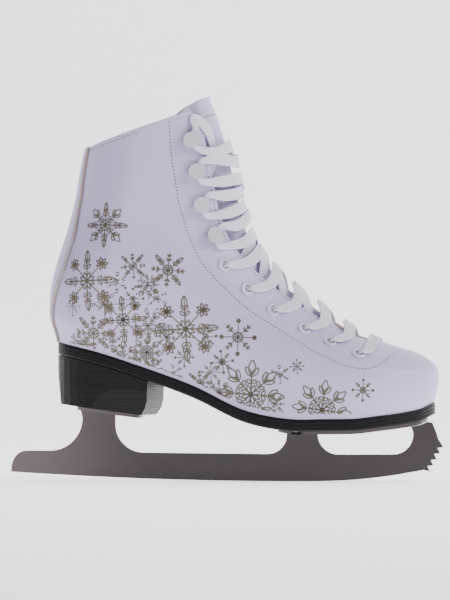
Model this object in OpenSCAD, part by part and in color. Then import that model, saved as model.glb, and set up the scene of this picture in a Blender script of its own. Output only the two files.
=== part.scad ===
// A laced figure skate for the right foot: a stiffened boot on a steel blade.
// +X runs from the heel to the toe, +Y to the inner side of the foot, +Z up.
// The origin is on the ice, under the middle of the blade.
// The boot's skin is one surface. A row v runs round the foot from 0 at the sole to 1 at the
// collar, and a column c goes round that row: 0 is the back, -1 and 1 are the front, and
// negative values are on the outer side of the foot. Every layer is an offset of that surface.

/* [Boot] */
// Length of the sole
boot_l = 251; // [209:1:301]
// Width of the sole across the ball of the foot
ball_w = 85; // [71:1:102]
// Height of the back of the collar above the heel seat
shaft_h = 129.6; // [108:0.1:155]
// Height of the heel seat above the ball of the foot
pitch = 50.6; // [42:0.1:60]
// How far the toe turns up
toe_spring = 10.4; // [8:0.1:12.5]
// How far the toe leans to the inner side of the foot
toe_swing = 5; // [0:0.5:8]

/* [Upper] */
// Thickness of the upper's leather
leather_t = 2; // [1.6:0.1:2.4]
// Thickness of the facings inside the eyelet rows
facing_t = 1.2; // [1:0.1:1.5]
// Thickness of the lining
lining_t = 1; // [0.8:0.1:1.2]
// Thickness of the heel counter and of the toe puff
stiffener_t = 1.5; // [1.2:0.1:1.8]
// Thickness of the collar's foam
pad_t = 5; // [4:0.1:6]
// Thickness of the strip down the back
backstay_t = 1.4; // [1.1:0.1:1.7]
// Gap between two layers
layer_gap = 0.15; // [0.1:0.01:0.3]

/* [Tongue] */
// Thickness of the tongue's face
tongue_face_t = 1.4; // [1.1:0.1:1.7]
// Thickness of the tongue's foam
tongue_foam_t = 5; // [4:0.1:6]
// Thickness of the tongue's lining
tongue_lining_t = 0.9; // [0.7:0.1:1.1]
// Room for the lace between the facing and the tongue
lace_room = 3; // [2.6:0.1:3.6]

/* [Sole] */
// Thickness of the outsole
sole_t = 8.1; // [6.8:0.1:9.8]
// How far the outsole stands out past the upper
welt = 0.8; // [0:0.1:1.5]
// Thickness of the insole board
board_t = 2.2; // [1.8:0.1:2.7]
// Thickness of the footbed
footbed_t = 3; // [2.5:0.1:3.6]
// Thickness of the steel shank
shank_t = 1.2; // [1:0.1:1.5]
// Width of the steel shank
shank_w = 14; // [11:0.5:17]

/* [Heel] */
// Length of the heel on its outer side, at the top
heel_l = 63; // [52:0.5:76]
// How much further forward the heel reaches on its inner side
heel_reach = 9; // [0:0.5:11]
// Forward slope of the heel's underside, in degrees
heel_slope = 7.5; // [6:0.1:9]
// Thickness of the heel's top lift
lift_t = 5; // [4:0.1:6]

/* [Blade] */
// Height of the sole plate's underside above the ice, at the ball
blade_h = 32; // [27:0.1:38]
// How far the tail runs out behind the boot
tail_out = 32.4; // [27:0.1:38]
// How far the toe pick stands out in front of the boot
pick_out = 6.6; // [5.5:0.1:8]
// Thickness of the runner
runner_t = 3.75; // [3.2:0.05:4.6]
// Height of the runner between its posts
runner_h = 18.2; // [16:0.1:21]
// Radius of the rocker along the running edge
rocker_r = 2800; // [2300:50:3400]
// Radius of the tighter curve that leads up to the toe pick
spin_r = 340; // [290:5:410]
// Width of the post under the heel
rear_post_w = 22; // [18:0.5:26]
// Width of the post under the ball
front_post_w = 20.5; // [17:0.5:25]
// Thickness of both mounting plates
plate_t = 2.4; // [2:0.1:2.9]
// Radius of the mounting screws
screw_r = 1.9; // [1.6:0.05:2.3]

/* [Lacing] */
// Inner radius of an eyelet
eyelet_r = 2.4; // [2.1:0.1:2.8]
// Radius of an eyelet's flange
eyelet_flange_r = 4.75; // [4:0.05:5.6]
// Radius of a hook's face
hook_r = 5.3; // [4.5:0.1:6.3]
// Width of the lace
lace_w = 8.5; // [7.1:0.1:9.5]
// Thickness of the lace
lace_t = 1.3; // [1.1:0.1:1.5]

/* [Hidden] */

// Running clearances
fit = 0.1;
hole_gap = 0.15;

blade_l = tail_out + boot_l + pick_out;
back_x = tail_out - blade_l / 2;
front_x = back_x + boot_l;
ball_z = blade_h + plate_t + sole_t;
// Height of the front of the collar above the ball
collar_front_h = pitch + 1.239 * shaft_h;
half_ball = ball_w / 2;

// ---- The boot's skin -------------------------------------------------------

// Back edge of the skin: row, share of the sole's length, share of the shaft's height
BACK = [[0, 0, 0], [0.06, -0.007, 0.054], [0.14, -0.018, 0.123], [0.22, -0.019, 0.216],
        [0.32, -0.013, 0.309], [0.44, 0.002, 0.42], [0.6, 0.029, 0.582], [0.76, 0.05, 0.745],
        [0.9, 0.062, 0.887], [1, 0.074, 1], [1.1, 0.086, 1.103]];
// Front edge: row, share of the sole's length, share of the collar front's height
FRONT = [[0, 1, 0], [0.06, 1.013, 0.061], [0.12, 1.005, 0.123], [0.17, 0.96, 0.162],
         [0.22, 0.892, 0.19], [0.28, 0.827, 0.221], [0.36, 0.761, 0.271], [0.44, 0.697, 0.33],
         [0.52, 0.633, 0.39], [0.6, 0.576, 0.457], [0.68, 0.53, 0.529], [0.76, 0.506, 0.614],
         [0.84, 0.49, 0.708], [0.92, 0.468, 0.823], [1, 0.433, 1], [1.1, 0.39, 1.221]];
// Drop of the sole from the heel seat, and the rise of the toe, along the sole
SEAT = [[0, 1], [0.12, 0.86], [0.25, 0.65], [0.37, 0.43], [0.5, 0.125], [0.62, 0.005],
        [0.72, 0], [1, 0]];
TOE_RISE = [[0, 0], [0.78, 0], [0.86, 0.2], [0.93, 0.43], [0.97, 0.64], [1, 1]];
// Half widths as shares of half the ball's width, at eight stations from back to front
STATIONS = [0, 0.15, 0.3, 0.45, 0.6, 0.75, 0.9, 1];
OUTER_W = [[0, 0.66, 0.73, 0.72, 0.78, 0.92, 1, 0.99, 0.94],
           [0.12, 0.75, 0.82, 0.81, 0.85, 0.96, 1.03, 1.01, 0.96],
           [0.3, 0.8, 0.89, 0.89, 0.89, 0.92, 0.94, 0.92, 0.89],
           [0.5, 0.8, 0.92, 0.94, 0.92, 0.89, 0.89, 0.87, 0.85],
           [0.7, 0.78, 0.89, 0.92, 0.89, 0.87, 0.85, 0.82, 0.8],
           [1, 0.87, 0.94, 0.96, 0.96, 0.94, 0.92, 0.89, 0.87],
           [1.1, 0.89, 0.96, 0.99, 0.99, 0.96, 0.94, 0.92, 0.89]];
INNER_W = [[0, 0.66, 0.73, 0.65, 0.64, 0.8, 0.96, 0.94, 0.87],
           [0.12, 0.75, 0.82, 0.75, 0.74, 0.87, 1.02, 0.99, 0.89],
           [0.3, 0.8, 0.89, 0.87, 0.85, 0.87, 0.92, 0.89, 0.87],
           [0.5, 0.8, 0.92, 0.94, 0.89, 0.87, 0.87, 0.85, 0.82],
           [0.7, 0.78, 0.89, 0.92, 0.89, 0.87, 0.85, 0.82, 0.8],
           [1, 0.87, 0.94, 0.96, 0.96, 0.94, 0.92, 0.89, 0.87],
           [1.1, 0.89, 0.96, 0.99, 0.99, 0.96, 0.94, 0.92, 0.89]];
// Lengths over which a row rounds off at the back and at the front, as shares of the same
BACK_ROUND = [[0, 0.78], [0.12, 0.85], [0.3, 0.89], [0.7, 0.89], [1, 0.99], [1.1, 1.01]];
FRONT_ROUND = [[0, 1.46], [0.12, 1.41], [0.2, 1.5], [0.3, 1.74], [0.4, 1.98], [0.5, 1.93],
               [0.6, 1.65], [0.7, 1.36], [0.85, 1.18], [1, 1.08], [1.1, 1.04]];
// Sideways lean of a row's front end, as a share of the toe's swing
LEAN = [[0, 1], [0.12, 1], [0.25, 1.2], [0.4, 1.4], [0.6, 1], [0.8, 0.4], [1, 0], [1.1, 0]];

// Edge of the facing along a row, on each side
OUTER_EDGE = [[0.25, 1], [0.258, 0.99], [0.27, 0.98], [0.285, 0.968], [0.34, 0.948],
              [0.41, 0.92], [0.5, 0.895], [0.6, 0.872], [0.7, 0.86], [0.8, 0.847],
              [0.9, 0.843], [1, 0.85]];
INNER_EDGE = [[0.25, 1], [0.258, 0.992], [0.27, 0.984], [0.285, 0.976], [0.34, 0.965],
              [0.41, 0.95], [0.5, 0.93], [0.6, 0.9], [0.7, 0.875], [0.8, 0.852],
              [0.9, 0.843], [1, 0.85]];
throat_v = 0.25;
// Rows of the facing's stitched outline, below the eyelets and round the throat
FACING_LOW = [[0.142, 0.838], [0.15, 0.808], [0.165, 0.787], [0.2, 0.77], [0.26, 0.765],
              [0.32, 0.745], [0.4, 0.692], [0.5, 0.658], [0.58, 0.641], [0.66, 0.644],
              [0.8, 0.62], [0.9, 0.615], [0.95, 0.622], [1, 0.645]];
FACING_FRONT = [[0.142, 0.842], [0.15, 0.878], [0.165, 0.91], [0.197, 0.965], [0.215, 1]];
// Half width of the strip down the back, as a share of the row
BACKSTAY_EDGE = [[0, 0.004], [0.1, 0.005], [0.19, 0.011], [0.28, 0.021], [0.41, 0.037],
                 [0.555, 0.045], [0.72, 0.038], [0.87, 0.034], [1, 0.035]];
// Side edge of the tongue
TONGUE_EDGE = [[0.215, 0.975], [0.25, 0.93], [0.32, 0.86], [0.45, 0.78], [0.6, 0.72],
               [0.8, 0.68], [1.05, 0.69]];

// Eyelet rows and hook rows: row, then the share of the row on each side
EYELETS = [[0.198, 0.877, 0.885], [0.26, 0.864, 0.88], [0.321, 0.838, 0.857],
           [0.397, 0.793, 0.815], [0.48, 0.766, 0.79], [0.573, 0.748, 0.765]];
HOOKS = [[0.686, 0.772, 0.785], [0.786, 0.736, 0.74], [0.885, 0.736, 0.736],
         [0.952, 0.74, 0.74]];

function unit(a) = a / norm(a);
function clamp(t, lo = 0, hi = 1) = min(max(t, lo), hi);
function smooth(t) = let(q = clamp(t)) q * q * (3 - 2 * q);

function seg(tab, t, i = 0) = i >= len(tab) - 2 || t < tab[i + 1][0] ? i : seg(tab, t, i + 1);
function tail(row) = [for (i = [1:len(row) - 1]) row[i]];
// Straight-line reading of a table
function line(tab, t) =
    let(i = seg(tab, t), a = tab[i], b = tab[i + 1])
    a[1] + (b[1] - a[1]) * clamp((t - a[0]) / (b[0] - a[0]));
// Smooth reading of a table, straight past its ends
function slope_at(tab, i) =
    let(lo = max(i - 1, 0), hi = min(i + 1, len(tab) - 1))
    (tail(tab[hi]) - tail(tab[lo])) / (tab[hi][0] - tab[lo][0]);
function curve(tab, t) =
    let(i = seg(tab, t), h = tab[i + 1][0] - tab[i][0], q = (t - tab[i][0]) / h,
        a = tail(tab[i]), b = tail(tab[i + 1]), ma = slope_at(tab, i), mb = slope_at(tab, i + 1))
    q < 0 ? a + ma * q * h :
    q > 1 ? b + mb * (q - 1) * h :
    a * (2 * q * q * q - 3 * q * q + 1) + ma * h * (q * q * q - 2 * q * q + q)
    + b * (3 * q * q - 2 * q * q * q) + mb * h * (q * q * q - q * q);

function sole_rise(u) = pitch * curve(SEAT, clamp(u))[0] + toe_spring * curve(TOE_RISE, clamp(u))[0];
// Height of the outsole's top and underside at a place along X
function top_z(x) = ball_z + sole_rise((x - back_x) / boot_l);
function under_z(x) = top_z(x) - sole_t;
function sole_x(u) = back_x + boot_l * u;

function share(c) = (1 - cos(180 * abs(c))) / 2;
function column(s) = acos(1 - 2 * clamp(s)) / 180;
function wrap(c) = c > 1 ? c - 2 : c < -1 ? c + 2 : c;
function quarter(t) = sqrt(max(0, 1 - pow(1 - clamp(t), 2)));
function half_w(v, s, side) =
    let(rows = side < 0 ? OUTER_W : INNER_W, at = curve(rows, v))
    half_ball * curve([for (i = [0:7]) [STATIONS[i], at[i]]], s)[0];

function skin_at(v, s, side) =
    let(b = curve(BACK, v), f = curve(FRONT, v),
        bx = boot_l * b[0], bz = pitch + shaft_h * b[1],
        fx = boot_l * f[0], fz = toe_spring + (collar_front_h - toe_spring) * f[1],
        sag = sole_rise(s) - (pitch + (toe_spring - pitch) * s),
        row_l = norm([fx - bx, fz - bz]),
        round_off = quarter(s * row_l / (half_ball * curve(BACK_ROUND, v)[0]))
                  * quarter((1 - s) * row_l / (half_ball * curve(FRONT_ROUND, v)[0])))
    [back_x + bx + (fx - bx) * s,
     toe_swing * curve(LEAN, v)[0] * smooth((s - 0.45) / 0.55) + side * half_w(v, s, side) * round_off,
     ball_z + bz + (fz - bz) * s + sag * pow(max(0, 1 - v), 3)];
function skin(v, c) = let(q = wrap(c)) skin_at(v, share(q), q < 0 ? -1 : 1);
function out(v, c, e = 0.004) =
    unit(cross(skin(v + e, c) - skin(v - e, c), skin(v, c + e) - skin(v, c - e)));
// A point at a depth under the skin
function under(v, c, d) = skin(v, c) - d * out(v, c);

function edge_c(v, side) = v <= throat_v ? 1 : column(line(side < 0 ? OUTER_EDGE : INNER_EDGE, v));
// The collar line drops in a rounded corner at the facings
function collar_v(v, c) =
    let(s = share(c)) v - 0.045 * pow(smooth((s - 0.775) / 0.08), 2) * smooth((v - 0.6) / 0.4);

// Depths of the layers
facing_d = leather_t + 3.5 * layer_gap;
stiffener_d = leather_t + layer_gap;
lining_d = max(facing_d + facing_t + 2 * layer_gap, stiffener_d + stiffener_t) + layer_gap;
// Share of the full padding at a place
function padding(v, c) =
    let(s = share(c), edge = line(OUTER_EDGE, max(v, 0.3)))
    smooth((v - 0.4) / 0.14) * smooth((edge - 0.13 - s) / 0.12) * smooth((1.02 - v) / 0.06);
function lining_depth(v, c) = lining_d + max(0, stiffener_d + pad_t + layer_gap - lining_d) * padding(v, c);

// ---- Shells ----------------------------------------------------------------

// Closes an outer and an inner grid of points into one solid. Rows up to closed_to meet
// themselves at the front, so their last column is their first.
module shell(outer, inner, closed_to = -1) {
    n = len(outer);
    m = len(outer[0]);
    skip = n * m;
    function at(i, j) = i <= closed_to && j == m - 1 ? i * m : i * m + j;
    points = concat([for (r = outer) for (p = r) p], [for (r = inner) for (p = r) p]);
    skins = [for (i = [0:n - 2]) for (j = [0:m - 2])
             each [[at(i, j), at(i + 1, j + 1), at(i + 1, j)], [at(i, j), at(i, j + 1), at(i + 1, j + 1)],
                   [skip + at(i, j), skip + at(i + 1, j), skip + at(i + 1, j + 1)],
                   [skip + at(i, j), skip + at(i + 1, j + 1), skip + at(i, j + 1)]]];
    rims = [for (j = [0:m - 2])
            each [[at(0, j), skip + at(0, j + 1), at(0, j + 1)], [at(0, j), skip + at(0, j),
                skip + at(0, j + 1)],
                  [at(n - 1, j), at(n - 1, j + 1), skip + at(n - 1, j + 1)],
                  [at(n - 1, j), skip + at(n - 1, j + 1), skip + at(n - 1, j)]]];
    ends = [for (i = [max(closed_to, 0):n - 2])
            each [[at(i, 0), skip + at(i + 1, 0), skip + at(i, 0)], [at(i, 0), at(i + 1, 0),
                skip + at(i + 1, 0)],
                  [at(i, m - 1), skip + at(i, m - 1), skip + at(i + 1, m - 1)],
                  [at(i, m - 1), skip + at(i + 1, m - 1), at(i + 1, m - 1)]]];
    polyhedron(points, concat(skins, rims, ends), convexity = 8);
}

// Gap under the lower edges of the upper, the lining and the stiffeners
seat_gap = 0.5;
// Stands a point on the sole, at a height above the outsole's top
function stand(p, h) = [p[0], p[1], top_z(p[0]) + h];

// Rows and columns of the full boot, denser at the throat and round the toe and heel
boot_rows = concat([0.004, 0.03, 0.06, 0.09, 0.12, 0.15, 0.18, 0.21],
                   [0.232, 0.25, 0.262, 0.275, 0.29, 0.32],
                   [for (i = [0:12]) 0.36 + i * 0.64 / 12]);
closed_rows = 9;

half_cols = 18;
// The boot's own grid: row i, column j from -half_cols to half_cols
function spot(i, j, top_v = 1, inset = 0) =
    let(v = min(boot_rows[i], top_v), side = j < 0 ? -1 : 1,
        c = j / half_cols * (i <= closed_rows ? 1 : edge_c(v, side) - inset))
    [collar_v(v, c), c];
// A point of a layer. The lowest row stands on the sole.
function place(i, q, d, foot_h) = let(p = under(q[0], q[1], d)) i == 0 && !is_undef(foot_h) ? stand(p,
    foot_h) : p;

// One shell of the whole boot between two depths, from a height above the outsole's top
module boot_shell(depth_out, depth_in, foot_h, top_v = 1, inset = 0) {
    spots = [for (i = [0:len(boot_rows) - 1]) [for (j = [-half_cols:half_cols]) spot(i, j, top_v, inset)]];
    outer = [for (i = [0:len(spots) - 1]) [for (q = spots[i]) place(i, q, depth_out(q[0], q[1]), foot_h)]];
    inner = [for (i = [0:len(spots) - 1]) [for (q = spots[i]) place(i, q, depth_in(q[0], q[1]), foot_h)]];
    shell(outer, inner, closed_rows);
}

// A patch of the boot between two depths. spots is a grid of [row, column].
module patch(spots, depth_out, depth_in, foot_h = undef) {
    outer = [for (i = [0:len(spots) - 1]) [for (q = spots[i]) place(i, q, depth_out(q[0], q[1]), foot_h)]];
    inner = [for (i = [0:len(spots) - 1]) [for (q = spots[i]) place(i, q, depth_in(q[0], q[1]), foot_h)]];
    shell(outer, inner);
}

// Sets a child on the skin: its Z points out, its X along the row towards the toe
module on_skin(v, c) {
    o = skin(v, c);
    z = out(v, c);
    ahead = skin(v, c + (c < 0 ? -0.004 : 0.004)) - skin(v, c + (c < 0 ? 0.004 : -0.004));
    y = unit(cross(z, ahead));
    x = cross(y, z);
    multmatrix([[x[0], y[0], z[0], o[0]], [x[1], y[1], z[1], o[1]], [x[2], y[2], z[2], o[2]], [0, 0, 0, 1]])
        children();
}
function hole_c(row, side) = side * column(side < 0 ? row[1] : row[2]);
module at_rows(rows, side) {
    for (row = rows) on_skin(row[0], hole_c(row, side)) children();
}

// Depth of the facing's inner face, where the washers sit
wall_d = lining_d + lining_t;
barrel_r = eyelet_r + 0.5;
rivet_r = 1.6;
module lacing_holes() {
    for (side = [-1, 1]) {
        at_rows(EYELETS, side) cylinder(h = 3 * wall_d, r = barrel_r + hole_gap, center = true, $fn = 24);
        at_rows(HOOKS, side) cylinder(h = 3 * wall_d, r = rivet_r + hole_gap, center = true, $fn = 24);
    }
}

// ---- The upper and what stiffens it ----------------------------------------

module upper() {
    color("white") difference() {
        boot_shell(function(v, c) 0, function(v, c) leather_t, seat_gap);
        lacing_holes();
    }
}

module lining() {
    color("lavender") difference() {
        boot_shell(function(v, c) lining_depth(v, c), function(v, c) lining_depth(v, c) + lining_t,
                   board_t + seat_gap, 0.985, 0.006);
        lacing_holes();
    }
}

module facing(side) {
    rows = [0.143, 0.15, 0.165, 0.18, 0.198, 0.215, 0.232, 0.25, 0.262, 0.275, 0.29, 0.32,
            0.36, 0.42, 0.5, 0.58, 0.66, 0.74, 0.82, 0.9, 0.98];
    spots = [for (v = rows)
             let(low = column(line(FACING_LOW, v)),
                 high = min(column(line(FACING_FRONT, v)), edge_c(v, side) - 0.006, 0.995))
             [for (j = [0:12]) let(c = side * (low + (high - low) * j / 12)) [collar_v(v, c), c]]];
    // the outer side counts its columns the other way round, so that both sides face out
    facing_out = side < 0 ? [for (r = spots) [for (j = [12:-1:0]) r[j]]] : spots;
    difference() {
        patch(facing_out, function(v, c) facing_d, function(v, c) facing_d + facing_t);
        lacing_holes();
    }
}
module facing_outer() { color("gainsboro") facing(-1); }
module facing_inner() { color("gainsboro") facing(1); }

module backstay() {
    spots = [for (i = [0:20]) let(v = 0.004 + 0.994 * i / 20, w = column(line(BACKSTAY_EDGE, v)))
             [for (j = [-4:4]) [v, w * j / 4]]];
    color("ghostwhite") patch(spots, function(v, c) -backstay_t - 2 * layer_gap, function(v,
        c) -2 * layer_gap,
                                seat_gap);
}

module collar_padding() {
    spots = [for (i = [16:25]) [for (j = [-13:13]) spot(i, j)]];
    color("khaki")
        patch(spots, function(v, c) stiffener_d, function(v, c) lining_depth(v, c) - layer_gap);
}

module heel_counter() {
    spots = [for (i = [0:14]) [for (j = [-8:8]) spot(i, j)]];
    color("tan") patch(spots, function(v, c) stiffener_d, function(v, c) stiffener_d + stiffener_t,
                       board_t + seat_gap);
}

module toe_puff() {
    spots = [for (i = [0:5]) [for (j = [14:22]) spot(i, j)]];
    color("tan") patch(spots, function(v, c) stiffener_d, function(v, c) stiffener_d + stiffener_t,
                       board_t + seat_gap);
}

// ---- The tongue ------------------------------------------------------------

// Depth of the tongue's face: it swells up into the gap between the facings
edge_swell = lace_room + 0.2;
ridge_swell = 1.4;
function tongue_d(v, c) =
    let(s = share(wrap(c)), side = wrap(c) < 0 ? -1 : 1,
        edge = line(side < 0 ? OUTER_EDGE : INNER_EDGE, clamp(v, 0.25, 1)))
    wall_d + 0.6 + lace_room - edge_swell * smooth((s - edge) / 0.08) * smooth((v - 0.27) / 0.06)
        - ridge_swell * smooth((s - edge) / (1.001 - edge)) * smooth((v - 0.52) / 0.12);
// Columns of a tongue row on one side, from its edge to the ridge. One is at the facing's edge.
function tongue_cols(v, side, inset) =
    let(w = 1 - column(line(TONGUE_EDGE, v)) - inset, e = max(1 - edge_c(v, side), 0.3 * w))
    [w, (w + e) / 2, e, 0.75 * e, 0.45 * e];
module tongue_layer(d0, d1, inset) {
    low_v = 0.25;
    spots = [for (i = [0:15]) let(v = low_v + (1 - inset - low_v) * i / 15,
                                  a = tongue_cols(v, 1, inset), b = tongue_cols(v, -1, inset))
             [for (e = concat(-a, [0], [for (j = [4:-1:0]) b[j]]))
              let(rise = 0.012 - 0.02 * pow(abs(e) / max(a[0], b[0]), 3))
              [v + rise * smooth((v - 0.9) / 0.1), 1 + e]]];
    patch(spots, function(v, c) tongue_d(v, c) + d0, function(v, c) tongue_d(v, c) + d1);
}
foam_d = tongue_face_t + 2 * layer_gap;
tongue_lining_d = foam_d + tongue_foam_t + 2 * layer_gap;
module tongue_face() { color("white") tongue_layer(0, tongue_face_t, 0); }
module tongue_padding() { color("khaki") tongue_layer(foam_d, foam_d + tongue_foam_t, 0.006); }
module tongue_lining() {
    color("lavender") tongue_layer(tongue_lining_d, tongue_lining_d + tongue_lining_t, 0.002);
}

// ---- Eyelets, hooks and the lace -------------------------------------------

washer_d = wall_d + 1.25;
// Gap between the skin and the metal on it
skin_gap = 0.25;
module eyelet() {
    bottom = -washer_d - 0.6;
    rise = 0.9;
    lip = 0.7;
    rotate_extrude($fn = 32)
        polygon(concat([[eyelet_r, bottom], [barrel_r, bottom], [barrel_r, skin_gap], [eyelet_flange_r,
            skin_gap]],
                       arc(eyelet_flange_r - rise, skin_gap, rise, 15, 90, 5),
                       arc(eyelet_r + lip, skin_gap + rise - lip, lip, 90, 180, 6)));
}
module eyelets_outer() { color("white") at_rows(EYELETS, -1) eyelet(); }
module eyelets_inner() { color("white") at_rows(EYELETS, 1) eyelet(); }
module ring(r0, r1, h) {
    difference() {
        cylinder(h = h, r = r1, $fn = 32);
        translate([0, 0, -1]) cylinder(h = h + 2, r = r0, $fn = 32);
    }
}
module eyelet_washers() {
    color("silver") for (side = [-1, 1])
        at_rows(EYELETS, side) translate([0, 0, -washer_d - 0.4]) ring(barrel_r + fit, barrel_r + 1.6, 0.4);
}

hook_t = 1;
hook_gap = 3.6;
// A hook is one folded strip: a riveted foot, a neck on the side of the opening and a round face
module hook() {
    neck_x = hook_r - hook_t;
    difference() {
        translate([0, 0, skin_gap]) union() {
            cylinder(h = hook_t, r = 4.2, $fn = 32);
            translate([0, -3.5, 0]) cube([hook_r, 7, hook_t]);
        }
        translate([0, 0, -1]) cylinder(h = 4, r = rivet_r + fit, $fn = 32);
    }
    translate([neck_x, -3.5, skin_gap]) cube([hook_t, 7, hook_gap + 2 * hook_t]);
    translate([0, 0, skin_gap + hook_t + hook_gap]) intersection() {
        union() {
            cylinder(h = hook_t, r = hook_r, $fn = 48);
            translate([0, -4.6, 0]) cube([hook_r, 9.2, hook_t]);
        }
        translate([-hook_r, -hook_r, 0]) cube([2 * hook_r, 2 * hook_r, hook_t]);
    }
}
// The outer side's X points to the toe too, so both sides use the same hook
module hooks_outer() { color("whitesmoke") at_rows(HOOKS, -1) hook(); }
module hooks_inner() { color("whitesmoke") at_rows(HOOKS, 1) hook(); }
module hook_rivets() {
    color("silver") for (side = [-1, 1]) at_rows(HOOKS, side) {
        translate([0, 0, -washer_d - 1.1]) cylinder(h = washer_d + 1.5 + hook_t, r = rivet_r, $fn = 32);
        translate([0, 0, skin_gap + fit + hook_t]) cylinder(h = 0.9, r = 2.6, $fn = 32);
    }
}
module hook_washers() {
    color("silver") for (side = [-1, 1])
        at_rows(HOOKS, side) translate([0, 0, -washer_d - 0.6]) ring(rivet_r + fit, 3.8, 0.6);
}

// The lace is one ribbon. Its route is a list of [place, way the flat side faces, width, thickness].
// Both halves start at the bar across the lowest eyelets. Each half then crosses under the
// facing, up through the gap, over the other facing and into the next eyelet, and above the
// eyelets it goes round the hooks from below. Its end is tucked in beside the tongue.

// Row at which a strand crosses the ridge on its way to each row of eyelets and hooks
RIDGE = [0.262, 0.344, 0.433, 0.515, 0.59, 0.655, 0.708, 0.782, 0.852, 0.922];
rows_all = concat(EYELETS, HOOKS);
lace_h = 1.4;
ridge_h = -0.5;
lace_over = 1.5;
hole_w = 2.5;
hole_t = 1.5;
function row_side(half, k) = half * (k % 2 == 0 ? 1 : -1);
function frame_at(v, c) =
    let(z = out(v, c), e = c < 0 ? -0.004 : 0.004, ahead = skin(v, c + e) - skin(v, c - e),
        y = unit(cross(z, ahead)), x = cross(y, z))
    [skin(v, c), x, y * (c < 0 ? 1 : -1), z];
// A point in the frame of an eyelet or hook: ahead of it, above it, out from the skin
function local(f, a, b, h, w, t, hint = undef) =
    [f[0] + a * f[1] + b * f[2] + h * f[3], is_undef(hint) ? f[3] : hint, w, t];
function on(v, c, h, w = lace_w, t = lace_t) = [skin(v, c) + h * out(v, c), out(v, c), w, t];

// Through an eyelet from outside to inside
function through(f) = [
    local(f, 4.9, 0, 2.15, 6.3, 1.4), local(f, 2, 0, 2.75, 3.2, 1.5, unit(f[3] + 0.6 * f[1])),
    local(f, 0.3, 0, 1.2, hole_w, hole_t, f[1]), local(f, 0.2, 0, -3, hole_w, hole_t, f[1]),
    local(f, 0.1, 0, -7, 2.4, 1.4, unit(f[1] - 0.4 * f[3])), local(f, 3.4, 0, -7.95, 5.5, 1.2, -f[3])];
// Round a hook's neck from below to above
function round_hook(f) = [
    local(f, 5.9, -6.9, 2.4, 4.4, 1.4), local(f, 2.5, -4.4, 3.45, 2.4, 2), local(f, 1.3, -1.5, 3.5, 2.2, 2),
    local(f, 1.3, 1.5, 3.5, 2.2, 2), local(f, 2.5, 4.4, 3.45, 2.4, 2), local(f, 5.9, 6.9, 2.4, 4.4, 1.4)];

// Across the gap from one side to the other. hidden is true where it starts under the facing.
function across(from, to, side, v0, v1, ridge_v, top, hidden, n = 9) =
    let(c0 = from, c1 = 2 - to)
    [for (i = [1:n - 1])
     let(q = i / n, c = c0 + (c1 - c0) * q, mid = (1 - c0) / (c1 - c0),
         v = curve([[0, v0], [mid, ridge_v], [1, v1]], q)[0],
         edge = edge_c(max(v, 0.27), side), past = smooth((c - edge - 0.03) / (0.97 - edge)),
         low = 1.25 - tongue_d(v, side * c),
         start = hidden ? low : lace_h, far = smooth((c - 1) / 0.11),
         h = c < 1 ? start + (top - start) * (hidden ? past : smooth((c - edge + 0.04) / (1 - edge)))
                   : top + (lace_h - top) * far,
         inner_c = side > 0 ? c : 2 - c,
         hop = hidden || top < 0 ? 0 : cross_lift * exp(-pow((inner_c - cross_c) / 0.05, 2)))
     let(w = lace_w * (1 - 0.2 * pow(abs(2 * q - 1), 2)), p = on(v, side * c, h + hop, w))
     hidden && c < 1 && past < 0.5 ? [p[0], -p[1], w, lace_t] : p];

function bar(half) =
    let(row = EYELETS[0], c = abs(hole_c(row, half)))
    [for (i = [0:3]) let(q = i / 4, cc = 1 - (1 - c - 0.03) * q)
     on(RIDGE[0] + (row[0] + 0.004 - RIDGE[0]) * q * q, half * cc, lace_h + 0.1, lace_w * (1 - 0.1 * q))];

lift_v = 0.03;
// Above the eyelets the two bands lie side by side at the ridge, and cross on the inner side
band_v = 0.015;
cross_c = 0.9;
cross_lift = 1.5;
ahead_s = 0.085;
function hook_c(row, side) = column((side < 0 ? row[1] : row[2]) + ahead_s);
function half_route(half) =
    concat(
        bar(half),
        [for (k = [0:9]) let(row = rows_all[k], side = row_side(half, k), f = frame_at(row[0],
         hole_c(row, side)),
                             next = k < 9 ? rows_all[k + 1] : undef,
                                 top = half > 0 ? ridge_h : ridge_h + lace_over)
         each concat(
             k < 6 ? through(f) : round_hook(f),
             k == 9 ? [] :
             k < 5 ? across(abs(hole_c(row, side)) + 0.03, abs(hole_c(next, -side)) + 0.035, side,
                            row[0], next[0], RIDGE[k + 1], top, true) :
             k == 5 ? across(abs(hole_c(row, side)) + 0.03, hook_c(next, -side), side,
                             row[0], next[0] - lift_v, RIDGE[6], top, true) :
             across(hook_c(row, side), hook_c(next, -side), side, row[0] + lift_v, next[0] - lift_v,
                    RIDGE[k + 1] + side * band_v, top, false))],
        tucked_end(row_side(half, 9)));
// The tucked end: up over the corner of the facing, then down beside the tongue
function tucked_end(side) = [
    for (q = [[0.985, 0.8, 1.1, 6.5], [0.978, 0.845, 0.9, 7], [0.962, 0.885, -0.6, 7], [0.94, 0.905, -2.6, 6],
              [0.915, 0.9, -3.6, 5.5], [0.89, 0.875, -5, 5], [0.868, 0.845, -6.6, 4.6], [0.84, 0.828,
               -7.4, 4.4],
              [0.8, 0.825, -7.4, 4.2], [0.77, 0.825, -7.4, 3.4]])
    on(q[0], side * column(q[1]), q[2], q[3])];
lace_route = let(a = half_route(1), b = half_route(-1))
    concat([for (i = [len(a) - 1:-1:0]) a[i]], [for (i = [1:len(b) - 1]) b[i]]);

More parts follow.
